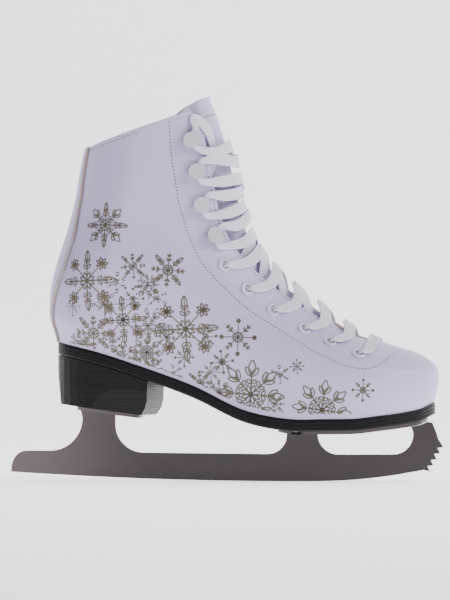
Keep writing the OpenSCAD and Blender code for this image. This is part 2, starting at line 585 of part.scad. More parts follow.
// Turns each hint so that the ribbon doesn't flip between one ring and the next
function way(route, i) = unit(route[min(i + 1, len(route) - 1)][0] - route[max(i - 1, 0)][0]);
function wide(route, i) = unit(cross(way(route, i), route[i][1]));
function sides(route, i = 0, last = undef, found = []) =
    i == len(route) ? found :
    let(w = wide(route, i), kept = is_undef(last) || w * last >= 0 ? w : -w)
    sides(route, i + 1, kept, concat(found, [kept]));
module ribbon(route) {
    n = len(route);
    across_dir = sides(route);
    form = [[0.5, 0], [0.37, 0.5], [-0.37, 0.5], [-0.5, 0], [-0.37, -0.5], [0.37, -0.5]];
    k = len(form);
    rings = [for (i = [0:n - 1])
             let(w = across_dir[i], up = cross(w, way(route, i)))
             [for (q = form) route[i][0] + w * q[0] * route[i][2] + up * q[1] * route[i][3]]];
    points = [for (r = rings) for (p = r) p];
    walls = [for (i = [0:n - 2]) for (j = [0:k - 1]) let(a = i * k, b = a + k, next = (j + 1) % k)
             each [[a + j, a + next, b + next], [a + j, b + next, b + j]]];
    caps = [for (j = [1:k - 2]) each [[0, j + 1, j], [(n - 1) * k, (n - 1) * k + j, (n - 1) * k + j + 1]]];
    polyhedron(points, concat(walls, caps), convexity = 10);
}
module lace() { color("white") ribbon(lace_route); }
aglet_l = 12;
module aglets() {
    color("gainsboro") for (side = [-1, 1]) {
        a = on(0.77, side * column(0.825), -7.4);
        b = on(0.76, side * column(0.825), -7.4);
        z = unit(b[0] - a[0]);
        y = unit(cross(z, a[1]));
        x = cross(y, z);
        o = a[0] + z * fit;
        multmatrix([[x[0], y[0], z[0], o[0]], [x[1], y[1], z[1], o[1]], [x[2], y[2], z[2], o[2]], [0,
            0, 0, 1]])
            cylinder(h = aglet_l, r1 = 1.15, r2 = 0.9, $fn = 24);
    }
}

// ---- The sole and the heel -------------------------------------------------

// A bent sheet that follows the outsole's top, between two heights over it
module sole_sheet(low, high, u0 = -0.02, u1 = 1.02, steps = 30) {
    xs = [for (i = [0:steps]) sole_x(u0 + (u1 - u0) * i / steps)];
    rotate([90, 0, 0]) linear_extrude(2 * ball_w, center = true)
        polygon(concat([for (x = xs) [x, top_z(x) + low]],
                       [for (i = [steps:-1:0]) [xs[i], top_z(xs[i]) + high]]));
}
// Plan outline of the boot at a depth under the skin
module plan(d, v = 0.004) {
    polygon([for (j = [0:63]) let(p = under(v, -1 + j / 32, d)) [p[0], p[1]]]);
}

SOLE_SCREWS = [[0.635, 17], [0.72, 19], [0.83, 18], [0.93, 13]];
screw_l = 8;
function sole_tilt(x) = atan2(under_z(x + 2) - under_z(x - 2), 4);
module at_sole_screws() {
    for (s = SOLE_SCREWS) for (side = [-1, 1])
        translate([sole_x(s[0]), side * s[1] + plate_lean(s[0]), under_z(sole_x(s[0])) - plate_t])
            rotate([0, -sole_tilt(sole_x(s[0])), 0]) children();
}
function plate_lean(u) = toe_swing * 0.5 * smooth((u - 0.45) / 0.55);

module outsole() {
    color([0.12, 0.11, 0.14]) difference() {
        intersection() {
            linear_extrude(200) plan(-welt);
            sole_sheet(-sole_t, 0);
        }
        intersection() {
            translate([sole_x(0.17), -shank_w / 2 - fit, 0]) cube([boot_l * 0.44, shank_w + 2 * fit, 200]);
            sole_sheet(-shank_t - fit, 1);
        }
        at_sole_screws() cylinder(h = plate_t + sole_t - 1.2, r = screw_r + fit, $fn = 24);
    }
}

module shank() {
    color("slategray") intersection() {
        translate([sole_x(0.17) + fit, -shank_w / 2, 0]) cube([boot_l * 0.44 - 2 * fit, shank_w, 200]);
        sole_sheet(-shank_t, 0);
    }
}
module insole_board() {
    color("burlywood") intersection() {
        linear_extrude(250) plan(leather_t + seat_gap + layer_gap);
        sole_sheet(fit, fit + board_t);
    }
}
module footbed() {
    color("lightsteelblue") intersection() {
        linear_extrude(250) plan(wall_d + seat_gap + 1);
        sole_sheet(board_t + 2 * fit, board_t + 2 * fit + footbed_t);
    }
}

// The heel's underside is a plane that slopes down to the front
heel_back_z = ball_z + pitch - 41;
function heel_z(x) = heel_back_z - tan(heel_slope) * (x - back_x);
heel_xs = [for (i = [0:10]) back_x - 2 + (heel_l + heel_reach + 4) * i / 10];
heel_lean = 2.8;
heel_skew = (heel_reach + 9) / (2 * ball_w);
sole_gap = 0.25;
module heel_slab(low, high) {
    // between two heights over the sloped underside, cut off by the outsole
    rotate([90, 0, 0]) linear_extrude(2 * ball_w, center = true)
        polygon(concat([for (x = heel_xs) [x, heel_z(x) + low]],
                       [for (i = [10:-1:0]) let(x = heel_xs[i]) [x, min(under_z(x) - sole_gap,
                        heel_z(x) + high)]]));
}
// The block narrows towards the ground at its back and sides. Its front slants across, and its
// lower front corner is rounded off.
module heel_form() {
    front = back_x + heel_l + heel_reach / 2;
    low = heel_z(front);
    intersection() {
        linear_extrude(200) plan(-welt);
        multmatrix([[1, heel_skew, 0, 0], [0, 1, 0, 0], [0, 0, 1, 0], [0, 0, 0, 1]])
            rotate([90, 0, 0]) linear_extrude(2 * ball_w, center = true)
                polygon([[back_x - boot_l, low - pitch], [front - 14, low - 2], [front - 9.2, low],
                         [front - 6.6, low + 2.2], [front - 4.4, low + 6], [front - 3, low + 11],
                         [front + 1, low + 2 * pitch], [back_x - boot_l, low + 2 * pitch]]);
        rotate([90, 0, 0]) linear_extrude(2 * ball_w, center = true)
            polygon([[back_x - 3, ball_z + pitch], [back_x + heel_lean - 0.4, heel_back_z - 2],
                     [front + heel_l, low - pitch], [front + heel_l, ball_z + pitch]]);
        rotate([90, 0, 90]) linear_extrude(3 * boot_l, center = true)
            polygon([[-0.44 * ball_w, ball_z + pitch], [-0.335 * ball_w, heel_back_z - 10],
                     [0.335 * ball_w, heel_back_z - 10], [0.44 * ball_w, ball_z + pitch]]);
    }
}

HEEL_SCREWS = [[22, 14], [45, 14]];
heel_screw_l = 16;
module at_heel_screws() {
    for (s = HEEL_SCREWS) for (side = [-1, 1])
        translate([back_x + s[0], side * s[1], heel_z(back_x + s[0]) - plate_t / cos(heel_slope)])
            rotate([0, heel_slope, 0]) children();
}
module heel_part(low, high) {
    difference() {
        intersection() {
            heel_form();
            heel_slab(low, high);
        }
        at_heel_screws() cylinder(h = heel_screw_l + plate_t, r = screw_r + fit, $fn = 24);
    }
}
module heel_block() { color([0.14, 0.13, 0.16]) heel_part(lift_t + fit, pitch + heel_l); }
module heel_top_lift() { color([0.08, 0.08, 0.1]) heel_part(0, lift_t); }

// ---- The blade -------------------------------------------------------------

head_r = 3.6;
sink = 1.7;
// A cross-slotted screw whose head sinks into its plate
module head_cone() { cylinder(h = sink, r1 = head_r, r2 = screw_r, $fn = 32); }
module screw(l) {
    difference() {
        union() {
            cylinder(h = l, r = screw_r, $fn = 24);
            head_cone();
        }
        for (a = [0, 90]) rotate([0, 0, a]) translate([-2, -0.45, -1]) cube([4, 0.9, 2]);
    }
}
module screw_hole() {
    wide = head_r + hole_gap + (head_r - screw_r) / sink;
    narrow = screw_r + hole_gap;
    rotate_extrude($fn = 32)
        polygon([[0, -1], [wide, -1], [narrow, sink], [narrow, 2 * plate_t], [0, 2 * plate_t]]);
}
module sole_screws() { color("silver") at_sole_screws() screw(screw_l); }
module heel_screws() { color("silver") at_heel_screws() screw(heel_screw_l); }

plate_front_x = front_x - 4;
plate_back_x = sole_x(0.585);
// The sole plate is waisted between its two ends
module sole_plate() {
    steps = 24;
    function half(t) = 15 + 9 * smooth(t / 0.35) - 3 * smooth((t - 0.55) / 0.3);
    function x_at(t) = plate_back_x + 8 + (plate_front_x - plate_back_x - 16) * t;
    function y_at(t) = plate_lean((x_at(t) - back_x) / boot_l);
    color([0.62, 0.6, 0.6]) difference() {
        intersection() {
            linear_extrude(200) union() {
                polygon(concat([for (i = [0:steps]) let(t = i / steps) [x_at(t), y_at(t) - half(t)]],
                               [for (i = [steps:-1:0]) let(t = i / steps) [x_at(t), y_at(t) + half(t)]]));
                for (t = [0, 1]) translate([x_at(t), y_at(t)]) scale([8 / half(t),
                    1]) circle(r = half(t), $fn = 64);
            }
            sole_sheet(-sole_t - plate_t, -sole_t - fit, 0.5, 1.02, 40);
        }
        at_sole_screws() screw_hole();
    }
}

heel_plate_x = back_x + 13.2;
heel_plate_l = 42;
heel_plate_w = 42;
module heel_plate() {
    r = 8;
    color([0.62, 0.6, 0.6]) difference() {
        intersection() {
            linear_extrude(200) translate([heel_plate_x, 0]) union() {
                translate([0, -heel_plate_w / 2 + r]) square([heel_plate_l, heel_plate_w - 2 * r]);
                translate([r, -heel_plate_w / 2]) square([heel_plate_l - 2 * r, heel_plate_w]);
                for (x = [r, heel_plate_l - r]) for (y = [-1, 1])
                    translate([x, y * (heel_plate_w / 2 - r)]) circle(r = r, $fn = 48);
            }
            heel_slab(-plate_t / cos(heel_slope), -0.01);
        }
        at_heel_screws() screw_hole();
    }
}

function arc(cx, cz, r, a0, a1, n = 10, rz = undef) =
    [for (i = [0:n]) let(a = a0 + (a1 - a0) * i / n) [cx + r * cos(a),
     cz + (is_undef(rz) ? r : rz) * sin(a)]];
function plate_z(x) = under_z(x) - plate_t - sole_gap - fit;
// Lowest point of the rocker, ahead of the middle of the blade
rocker_x = 40;
spin_x = 62;
spin_a = asin((spin_x - rocker_x) / rocker_r);
spin_c = [spin_x - spin_r * sin(spin_a), rocker_r - (rocker_r - spin_r) * cos(spin_a)];
function rocker_z(x) = rocker_r - sqrt(rocker_r * rocker_r - pow(x - rocker_x, 2));
function spin_z(x) = spin_c[1] - sqrt(spin_r * spin_r - pow(x - spin_c[0], 2));

tooth = [-2.25, -4.05];
tooth_in = [-4, -0.6];
module runner_outline() {
    tail_x = -blade_l / 2;
    rear_x = back_x + 26.6;
    post_x = sole_x(0.65);
    rl = rear_x - rear_post_w / 2;
    rr = rear_x + rear_post_w / 2;
    fl = post_x - front_post_w / 2;
    fr = post_x + front_post_w / 2;
    toe_x = plate_front_x - 9.5;
    pick = [front_x + pick_out, 23];
    heel_under = function(x) heel_z(x) - plate_t / cos(heel_slope) - fit;
    top_z1 = runner_h + 2;
    polygon(concat(
        // running edge, from the tail to the toe pick
        [for (i = [0:24]) let(x = tail_x + (spin_x - tail_x) * i / 24) [x, rocker_z(x)]],
        [for (i = [1:8]) let(x = spin_x + (pick[0] - 21.5 - spin_x) * i / 8) [x, spin_z(x)]],
        [pick + 4 * tooth + [-4.2, 0.9]],
        // toe pick, from the lowest tooth up
        [for (i = [4:-1:1]) each [pick + i * tooth, pick + (i - 1) * tooth + tooth_in]],
        [pick, pick + [-3.4, 5.5], pick + [-4.8, 10], pick + [-7.4, 16.4]],
        [for (i = [0:4]) let(x = plate_front_x - 2.75 * i) [x, plate_z(x)]],
        // toe post, front post and rear post, with the round gaps between them
        arc(toe_x - 13.5, runner_h + 13.3, 13.5, 8, -90),
        arc(fr + 14, runner_h + 13.7, 14, -90, -178),
        [for (i = [0:8]) let(x = fr - front_post_w * i / 8) [x, plate_z(x)]],
        arc(fl - 13, runner_h + 13, 13, 0, -90),
        arc(rr + 19, runner_h + 19.8, 19, -90, -180),
        [[rr, heel_under(rr)], [rl - 1.2, heel_under(rl - 1.2)]],
        arc(rl - 22, top_z1 + 22, 22, 0, -90),
        // tail
        arc(tail_x + 10, 8, 10, 90, 180, 8, top_z1 - 8)));
}
module runner() {
    color([0.55, 0.52, 0.52])
        rotate([90, 0, 0]) linear_extrude(runner_t, center = true) runner_outline();
}

outsole();
heel_block();
heel_top_lift();
shank();
insole_board();
footbed();
upper();
facing_outer();
facing_inner();
backstay();
collar_padding();
lining();
heel_counter();
toe_puff();
tongue_face();
tongue_padding();
tongue_lining();
eyelets_outer();
eyelets_inner();
eyelet_washers();
hooks_outer();
hooks_inner();
hook_rivets();
hook_washers();
lace();
aglets();
runner();
sole_plate();
heel_plate();
sole_screws();
heel_screws();
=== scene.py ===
"""A laced figure skate for the right foot: the looks of the boot, the lace, the sole and the blade."""

import math
import random

import bpy
import numpy as np
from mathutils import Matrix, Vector


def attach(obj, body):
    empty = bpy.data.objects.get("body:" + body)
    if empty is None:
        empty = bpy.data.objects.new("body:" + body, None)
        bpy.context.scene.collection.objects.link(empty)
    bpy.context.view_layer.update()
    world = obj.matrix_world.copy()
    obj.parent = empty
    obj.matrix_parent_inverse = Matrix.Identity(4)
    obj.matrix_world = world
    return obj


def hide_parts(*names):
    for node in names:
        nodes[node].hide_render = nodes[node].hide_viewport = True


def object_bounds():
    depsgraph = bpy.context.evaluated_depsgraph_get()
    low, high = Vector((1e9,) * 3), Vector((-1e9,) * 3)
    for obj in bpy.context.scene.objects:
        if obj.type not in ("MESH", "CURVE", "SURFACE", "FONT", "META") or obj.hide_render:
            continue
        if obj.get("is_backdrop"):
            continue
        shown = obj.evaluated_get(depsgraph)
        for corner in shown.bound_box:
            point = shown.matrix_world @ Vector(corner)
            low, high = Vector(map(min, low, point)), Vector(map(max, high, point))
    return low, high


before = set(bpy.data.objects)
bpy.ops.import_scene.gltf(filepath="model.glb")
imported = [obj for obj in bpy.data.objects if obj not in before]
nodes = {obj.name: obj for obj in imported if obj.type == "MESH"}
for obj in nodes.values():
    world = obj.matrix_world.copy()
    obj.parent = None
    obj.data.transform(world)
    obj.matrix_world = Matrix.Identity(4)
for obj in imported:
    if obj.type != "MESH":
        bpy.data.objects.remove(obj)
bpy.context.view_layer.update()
MM = 0.001

# ---- Camera ----------------------------------------------------------------

IMAGE_LONG_SIDE = 0.402
CAMERA_AWAY = 4.0
CAMERA_TURN = math.radians(4)
aim = Vector((-0.0013, 0, 0.1213))
lens_data = bpy.data.cameras.new("camera")
lens_data.sensor_width = 36
lens_data.lens = 36 * CAMERA_AWAY / IMAGE_LONG_SIDE
camera = bpy.data.objects.new("camera", lens_data)
bpy.context.scene.collection.objects.link(camera)
camera.location = aim + CAMERA_AWAY * Vector((math.sin(CAMERA_TURN), -math.cos(CAMERA_TURN), 0))
camera.rotation_euler = (math.radians(90), 0, CAMERA_TURN)
bpy.context.scene.camera = camera

# ---- Sizes of the boot, in millimetres --------------------------------------

BOOT_L = 251
HALF_BALL = 42.5
SHAFT_H = 129.6
PITCH = 50.6
TOE_SPRING = 10.4
TOE_SWING = 5
LEATHER_T = 2
LAYER_GAP = 0.15
FACING_D = LEATHER_T + 3.5 * LAYER_GAP
FACING_T = 1.2
LINING_D = FACING_D + FACING_T + 3 * LAYER_GAP
LINING_T = 1
PAD_T = 5
BACKSTAY_T = 1.4
TONGUE_T = 1.4 + 5 + 0.9 + 4 * LAYER_GAP
LACE_ROOM = 3
SOLE_T = 8.1
WELT = 0.8
BLADE_H = 32
PLATE_T = 2.4
BLADE_L = 290
BACK_X = 32.4 - BLADE_L / 2
BALL_Z = BLADE_H + PLATE_T + SOLE_T
COLLAR_FRONT_H = PITCH + 1.239 * SHAFT_H
WALL_D = LINING_D + LINING_T
EDGE_SWELL = LACE_ROOM + 0.2
RIDGE_SWELL = 1.4
THROAT_V = 0.25


class Table:
    """Smooth reading of rows of [place, value, ...], straight past both ends."""

    def __init__(self, rows):
        rows = np.array(rows, float)
        self.at = rows[:, 0]
        self.values = rows[:, 1:]
        n = len(rows)
        low = np.maximum(np.arange(n) - 1, 0)
        high = np.minimum(np.arange(n) + 1, n - 1)
        self.slopes = (self.values[high] - self.values[low]) / (self.at[high] - self.at[low])[:, None]

    def __call__(self, t):
        t = np.asarray(t, float)
        i = np.clip(np.searchsorted(self.at, t, side="right") - 1, 0, len(self.at) - 2)
        h = (self.at[i + 1] - self.at[i])[..., None]
        q = (t[..., None] - self.at[i][..., None]) / h
        a, b = self.values[i], self.values[i + 1]
        ma, mb = self.slopes[i], self.slopes[i + 1]
        inside = np.clip(q, 0, 1)
        q2, q3 = inside**2, inside**3
        found = a * (2 * q3 - 3 * q2 + 1) + ma * h * (q3 - 2 * q2 + inside)
        found = found + b * (3 * q2 - 2 * q3) + mb * h * (q3 - q2)
        found = np.where(q < 0, a + ma * q * h, found)
        return np.where(q > 1, b + mb * (q - 1) * h, found)

    def one(self, t):
        return self(t)[..., 0]


def straight(rows, t):
    """Straight-line reading of rows of [place, value]."""
    rows = np.array(rows, float)
    return np.interp(t, rows[:, 0], rows[:, 1])


BACK = Table([[0, 0, 0], [0.06, -0.007, 0.054], [0.14, -0.018, 0.123], [0.22, -0.019, 0.216],
              [0.32, -0.013, 0.309], [0.44, 0.002, 0.42], [0.6, 0.029, 0.582], [0.76, 0.05, 0.745],
              [0.9, 0.062, 0.887], [1, 0.074, 1], [1.1, 0.086, 1.103]])
FRONT = Table([[0, 1, 0], [0.06, 1.013, 0.061], [0.12, 1.005, 0.123], [0.17, 0.96, 0.162],
               [0.22, 0.892, 0.19], [0.28, 0.827, 0.221], [0.36, 0.761, 0.271], [0.44, 0.697, 0.33],
               [0.52, 0.633, 0.39], [0.6, 0.576, 0.457], [0.68, 0.53, 0.529], [0.76, 0.506, 0.614],
               [0.84, 0.49, 0.708], [0.92, 0.468, 0.823], [1, 0.433, 1], [1.1, 0.39, 1.221]])
SEAT = Table([[0, 1], [0.12, 0.86], [0.25, 0.65], [0.37, 0.43], [0.5, 0.125], [0.62, 0.005], [0.72, 0],
              [1, 0]])
TOE_RISE = Table([[0, 0], [0.78, 0], [0.86, 0.2], [0.93, 0.43], [0.97, 0.64], [1, 1]])
STATIONS = np.array([0, 0.15, 0.3, 0.45, 0.6, 0.75, 0.9, 1])
OUTER_W = Table([[0, 0.66, 0.73, 0.72, 0.78, 0.92, 1, 0.99, 0.94],
                 [0.12, 0.75, 0.82, 0.81, 0.85, 0.96, 1.03, 1.01, 0.96],
                 [0.3, 0.8, 0.89, 0.89, 0.89, 0.92, 0.94, 0.92, 0.89],
                 [0.5, 0.8, 0.92, 0.94, 0.92, 0.89, 0.89, 0.87, 0.85],
                 [0.7, 0.78, 0.89, 0.92, 0.89, 0.87, 0.85, 0.82, 0.8],
                 [1, 0.87, 0.94, 0.96, 0.96, 0.94, 0.92, 0.89, 0.87],
                 [1.1, 0.89, 0.96, 0.99, 0.99, 0.96, 0.94, 0.92, 0.89]])
INNER_W = Table([[0, 0.66, 0.73, 0.65, 0.64, 0.8, 0.96, 0.94, 0.87],
                 [0.12, 0.75, 0.82, 0.75, 0.74, 0.87, 1.02, 0.99, 0.89],
                 [0.3, 0.8, 0.89, 0.87, 0.85, 0.87, 0.92, 0.89, 0.87],
                 [0.5, 0.8, 0.92, 0.94, 0.89, 0.87, 0.87, 0.85, 0.82],
                 [0.7, 0.78, 0.89, 0.92, 0.89, 0.87, 0.85, 0.82, 0.8],
                 [1, 0.87, 0.94, 0.96, 0.96, 0.94, 0.92, 0.89, 0.87],
                 [1.1, 0.89, 0.96, 0.99, 0.99, 0.96, 0.94, 0.92, 0.89]])
BACK_ROUND = Table([[0, 0.78], [0.12, 0.85], [0.3, 0.89], [0.7, 0.89], [1, 0.99], [1.1, 1.01]])
FRONT_ROUND = Table([[0, 1.46], [0.12, 1.41], [0.2, 1.5], [0.3, 1.74], [0.4, 1.98], [0.5, 1.93],
                     [0.6, 1.65], [0.7, 1.36], [0.85, 1.18], [1, 1.08], [1.1, 1.04]])
LEAN = Table([[0, 1], [0.12, 1], [0.25, 1.2], [0.4, 1.4], [0.6, 1], [0.8, 0.4], [1, 0], [1.1, 0]])
OUTER_EDGE = [[0.25, 1], [0.258, 0.99], [0.27, 0.98], [0.285, 0.968], [0.34, 0.948], [0.41, 0.92],
              [0.5, 0.895], [0.6, 0.872], [0.7, 0.86], [0.8, 0.847], [0.9, 0.843], [1, 0.85]]
INNER_EDGE = [[0.25, 1], [0.258, 0.992], [0.27, 0.984], [0.285, 0.976], [0.34, 0.965], [0.41, 0.95],
              [0.5, 0.93], [0.6, 0.9], [0.7, 0.875], [0.8, 0.852], [0.9, 0.843], [1, 0.85]]
BACKSTAY_EDGE = [[0, 0.004], [0.1, 0.005], [0.19, 0.011], [0.28, 0.021], [0.41, 0.037],
                 [0.555, 0.045], [0.72, 0.038], [0.87, 0.034], [1, 0.035]]
TONGUE_EDGE = [[0.215, 0.975], [0.25, 0.93], [0.32, 0.86], [0.45, 0.78], [0.6, 0.72], [0.8, 0.68], [1.05,
                                                                                                    0.69]]
EYELETS = [[0.198, 0.877, 0.885], [0.26, 0.864, 0.88], [0.321, 0.838, 0.857],
           [0.397, 0.793, 0.815], [0.48, 0.766, 0.79], [0.573, 0.748, 0.765]]
HOOKS = [[0.686, 0.772, 0.785], [0.786, 0.736, 0.74], [0.885, 0.736, 0.736], [0.952, 0.74, 0.74]]


def smooth(t):
    q = np.clip(t, 0, 1)
    return q * q * (3 - 2 * q)


def unit(a):
    return a / np.linalg.norm(a, axis=-1, keepdims=True)


def sole_rise(u):
    u = np.clip(u, 0, 1)
    return PITCH * SEAT.one(u) + TOE_SPRING * TOE_RISE.one(u)


def sole_top(x):
    """Height of the outsole's top at a place along X."""
    return BALL_Z + sole_rise((x - BACK_X) / BOOT_L)


def share(c):
    return (1 - np.cos(np.pi * np.abs(c))) / 2


def column(s):
    return np.arccos(1 - 2 * np.clip(s, 0, 1)) / np.pi


def quarter(t):
    return np.sqrt(np.maximum(0, 1 - (1 - np.clip(t, 0, 1)) ** 2))


def half_width(v, s, inner):
    at = np.where(inner[..., None], INNER_W(v), OUTER_W(v))
    n = len(STATIONS)
    low = np.maximum(np.arange(n) - 1, 0)
    high = np.minimum(np.arange(n) + 1, n - 1)
    slopes = (at[..., high] - at[..., low]) / (STATIONS[high] - STATIONS[low])
    i = np.clip(np.searchsorted(STATIONS, s, side="right") - 1, 0, n - 2)
    h = STATIONS[i + 1] - STATIONS[i]
    q = (s - STATIONS[i]) / h
    pick = lambda values, k: np.take_along_axis(values, k[..., None], -1)[..., 0]
    q2, q3 = q * q, q * q * q
    found = pick(at, i) * (2 * q3 - 3 * q2 + 1) + pick(slopes, i) * h * (q3 - 2 * q2 + q)
    return HALF_BALL * (found + pick(at, i + 1) * (3 * q2 - 2 * q3) + pick(slopes, i + 1) * h * (q3 - q2))


def skin(v, c):
    """The boot's skin at row v and column c, in millimetres."""
    v, c = np.broadcast_arrays(np.asarray(v, float), np.asarray(c, float))
    c = np.where(c > 1, c - 2, np.where(c < -1, c + 2, c))
    s = share(c)
    inner = c >= 0
    side = np.where(inner, 1, -1)
    b, f = BACK(v), FRONT(v)
    bx, bz = BOOT_L * b[..., 0], PITCH + SHAFT_H * b[..., 1]
    fx, fz = BOOT_L * f[..., 0], TOE_SPRING + (COLLAR_FRONT_H - TOE_SPRING) * f[..., 1]
    sag = sole_rise(s) - (PITCH + (TOE_SPRING - PITCH) * s)
    row_l = np.hypot(fx - bx, fz - bz)
    round_off = quarter(s * row_l / (HALF_BALL * BACK_ROUND.one(v)))
    round_off = round_off * quarter((1 - s) * row_l / (HALF_BALL * FRONT_ROUND.one(v)))
    y = TOE_SWING * LEAN.one(v) * smooth((s - 0.45) / 0.55) + side * half_width(v, s, inner) * round_off
    z = BALL_Z + bz + (fz - bz) * s + sag * np.maximum(0, 1 - v) ** 3
    return np.stack([BACK_X + bx + (fx - bx) * s, y, z], -1)


def out(v, c, e=0.004):
    v, c = np.asarray(v, float), np.asarray(c, float)
    return unit(np.cross(skin(v + e, c) - skin(v - e, c), skin(v, c + e) - skin(v, c - e)))


def under(v, c, d):
    """A point at a depth under the skin."""
    d = np.asarray(d, float)
    return skin(v, c) - d[..., None] * out(v, c)


def edge_share(v, side):
    return straight(OUTER_EDGE if side < 0 else INNER_EDGE, v)


def edge_column(v, side):
    v = np.asarray(v, float)
    return np.where(v <= THROAT_V, 1, column(edge_share(v, side)))


def collar_row(v, c):
    """The collar line drops in a rounded corner at the facings."""
    return v - 0.045 * smooth((share(c) - 0.775) / 0.08) ** 2 * smooth((v - 0.6) / 0.4)


def padding_share(v, c):
    edge = straight(OUTER_EDGE, np.maximum(v, 0.3))
    return smooth((v - 0.4) / 0.14) * smooth((edge - 0.13 - share(c)) / 0.12) * smooth((1.02 - v) / 0.06)


def lining_depth(v, c):
    return LINING_D + (LEATHER_T + LAYER_GAP + PAD_T + LAYER_GAP - LINING_D) * padding_share(v, c)


def tongue_depth(v, c):
    """The tongue swells up into the gap between the facings."""
    w = np.where(c > 1, c - 2, c)
    s = share(w)
    edge = np.where(w < 0, straight(OUTER_EDGE, np.clip(v, 0.25, 1)), straight(INNER_EDGE, np.clip(v,
        0.25, 1)))
    swell = smooth((s - edge) / 0.08) * smooth((v - 0.27) / 0.06)
    ridge = smooth((s - edge) / (1.001 - edge)) * smooth((v - 0.52) / 0.12)
    return WALL_D + 0.6 + LACE_ROOM - EDGE_SWELL * swell - RIDGE_SWELL * ridge


# ---- Shader finishes ---------------------------------------------------------


class Value:
    """A shader socket that can be used in sums."""

    def __init__(self, finish, socket):
        self.finish = finish
        self.socket = socket

    def math(self, operation, a, b=None):
        sockets = {0: a} if b is None else {0: a, 1: b}
        return self.finish.node("ShaderNodeMath", {"operation": operation}, sockets)

    def __add__(self, other):
        return self.math("ADD", self, other)

    def __radd__(self, other):
        return self.math("ADD", other, self)

    def __sub__(self, other):
        return self.math("SUBTRACT", self, other)

    def __rsub__(self, other):
        return self.math("SUBTRACT", other, self)

    def __mul__(self, other):
        return self.math("MULTIPLY", self, other)

    def __rmul__(self, other):
        return self.math("MULTIPLY", other, self)

    def __truediv__(self, other):
        return self.math("DIVIDE", self, other)

    def __pow__(self, other):
        return self.math("POWER", self, other)

    def sine(self):
        return self.math("SINE", self)

    def between(self, low, high):
        """0 below low, 1 above high, and a soft step between them."""
        return self.finish.node("ShaderNodeMapRange", {"interpolation_type": "SMOOTHSTEP"},
                                {"Value": self, "From Min": low, "From Max": high})


class Finish:
    """One material while it is being made."""

    def __init__(self, name, colour, roughness, metallic=0.0, **fixed):
        self.material = bpy.data.materials.new(name)
        self.material.use_nodes = True
        self.tree = self.material.node_tree
        self.shader = self.tree.nodes["Principled BSDF"]
        self.shader.inputs["Base Color"].default_value = (*colour, 1)
        self.shader.inputs["Roughness"].default_value = roughness
        self.shader.inputs["Metallic"].default_value = metallic
        for socket, value in fixed.items():
            self.shader.inputs[socket.replace("_", " ")].default_value = value

    def node(self, kind, settings=None, sockets=None, take=0):
        made = self.tree.nodes.new(kind)
        for name, value in (settings or {}).items():
            if name == "stops":
                ramp = made.color_ramp.elements
                while len(ramp) < len(value):
                    ramp.new(0.5)
                for stop, (place, colour) in zip(ramp, value):
                    stop.position = place
                    stop.color = (*colour, 1)
            else:
                setattr(made, name, value)
        for key, value in (sockets or {}).items():
            if isinstance(value, Value):
                self.tree.links.new(value.socket, made.inputs[key])
            else:
                made.inputs[key].default_value = value
        return Value(self, made.outputs[take])

    def feed(self, socket, value):
        self.tree.links.new(value.socket, self.shader.inputs[socket])

    def place(self, stretch=(1, 1, 1)):
        """Places on the object in millimetres, stretched along the axes."""
        at = self.node("ShaderNodeTexCoord", take="Object")
        return self.node("ShaderNodeMapping", {}, {"Vector": at, "Scale": tuple(1000 * k for k in stretch)})

    def noise(self, size, detail=3.0, rough=0.5, at=None, take="Fac"):
        """Noise whose blobs are about size millimetres across."""
        sockets = {"Vector": at or self.place(), "Scale": 1 / size, "Detail": detail, "Roughness": rough}
        return self.node("ShaderNodeTexNoise", {}, sockets, take)

    def cells(self, size, feature="F1", at=None):
        return self.node("ShaderNodeTexVoronoi", {"feature": feature},
                         {"Vector": at or self.place(), "Scale": 1 / size}, "Distance")

    def mix(self, factor, a, b):
        """Colour a where factor is 0, colour b where it is 1."""
        made = {"Factor": factor, 6: a if isinstance(a, Value) else (*a, 1), 7: b if isinstance(b,
            Value) else (*b, 1)}
        return self.node("ShaderNodeMix", {"data_type": "RGBA"}, made, 2)

    def bump(self, height, distance, strength=1.0):
        """Relief of a height from 0 to 1 over a distance in millimetres."""
        made = {"Height": height, "Distance": distance * MM, "Strength": strength}
        self.feed("Normal", self.node("ShaderNodeBump", {}, made))

    def along(self, name):
        """A number that the mesh carries at each vertex."""
        return self.node("ShaderNodeAttribute", {"attribute_name": name}, {}, "Fac")


def leather(name, colour, shade, roughness=0.42):
    f = Finish(name, colour, roughness, Coat_Weight=0.08, Coat_Roughness=0.35, Specular_IOR_Level=0.42)
    pores = f.cells(0.55)
    creases = f.cells(1.1, "DISTANCE_TO_EDGE").between(0.0, 0.22)
    broad = f.noise(38, 2)
    mottled = f.noise(2.6, 4)
    # The crease lines are coloured towards the shade colour as painted shade in the grooves; the broad and
    # mottled noise are the leather's own uneven tone
    f.feed("Base Color", f.mix(broad * 0.35 + (1 - creases) * 0.22 + mottled * 0.12, colour, shade))
    f.feed("Roughness", roughness + 0.1 * mottled - 0.05 * broad)
    f.bump(0.6 * creases + 0.25 * pores + 0.15 * mottled, 0.045, 0.55)
    return f.material


def raw_edge(name, colour):
    f = Finish(name, colour, 0.85)
    fibre = f.noise(0.5, 5, 0.7)
    f.feed("Base Color", f.mix(fibre.between(0.35, 0.7), colour, tuple(0.62 * k for k in colour)))
    f.bump(fibre, 0.12)
    return f.material


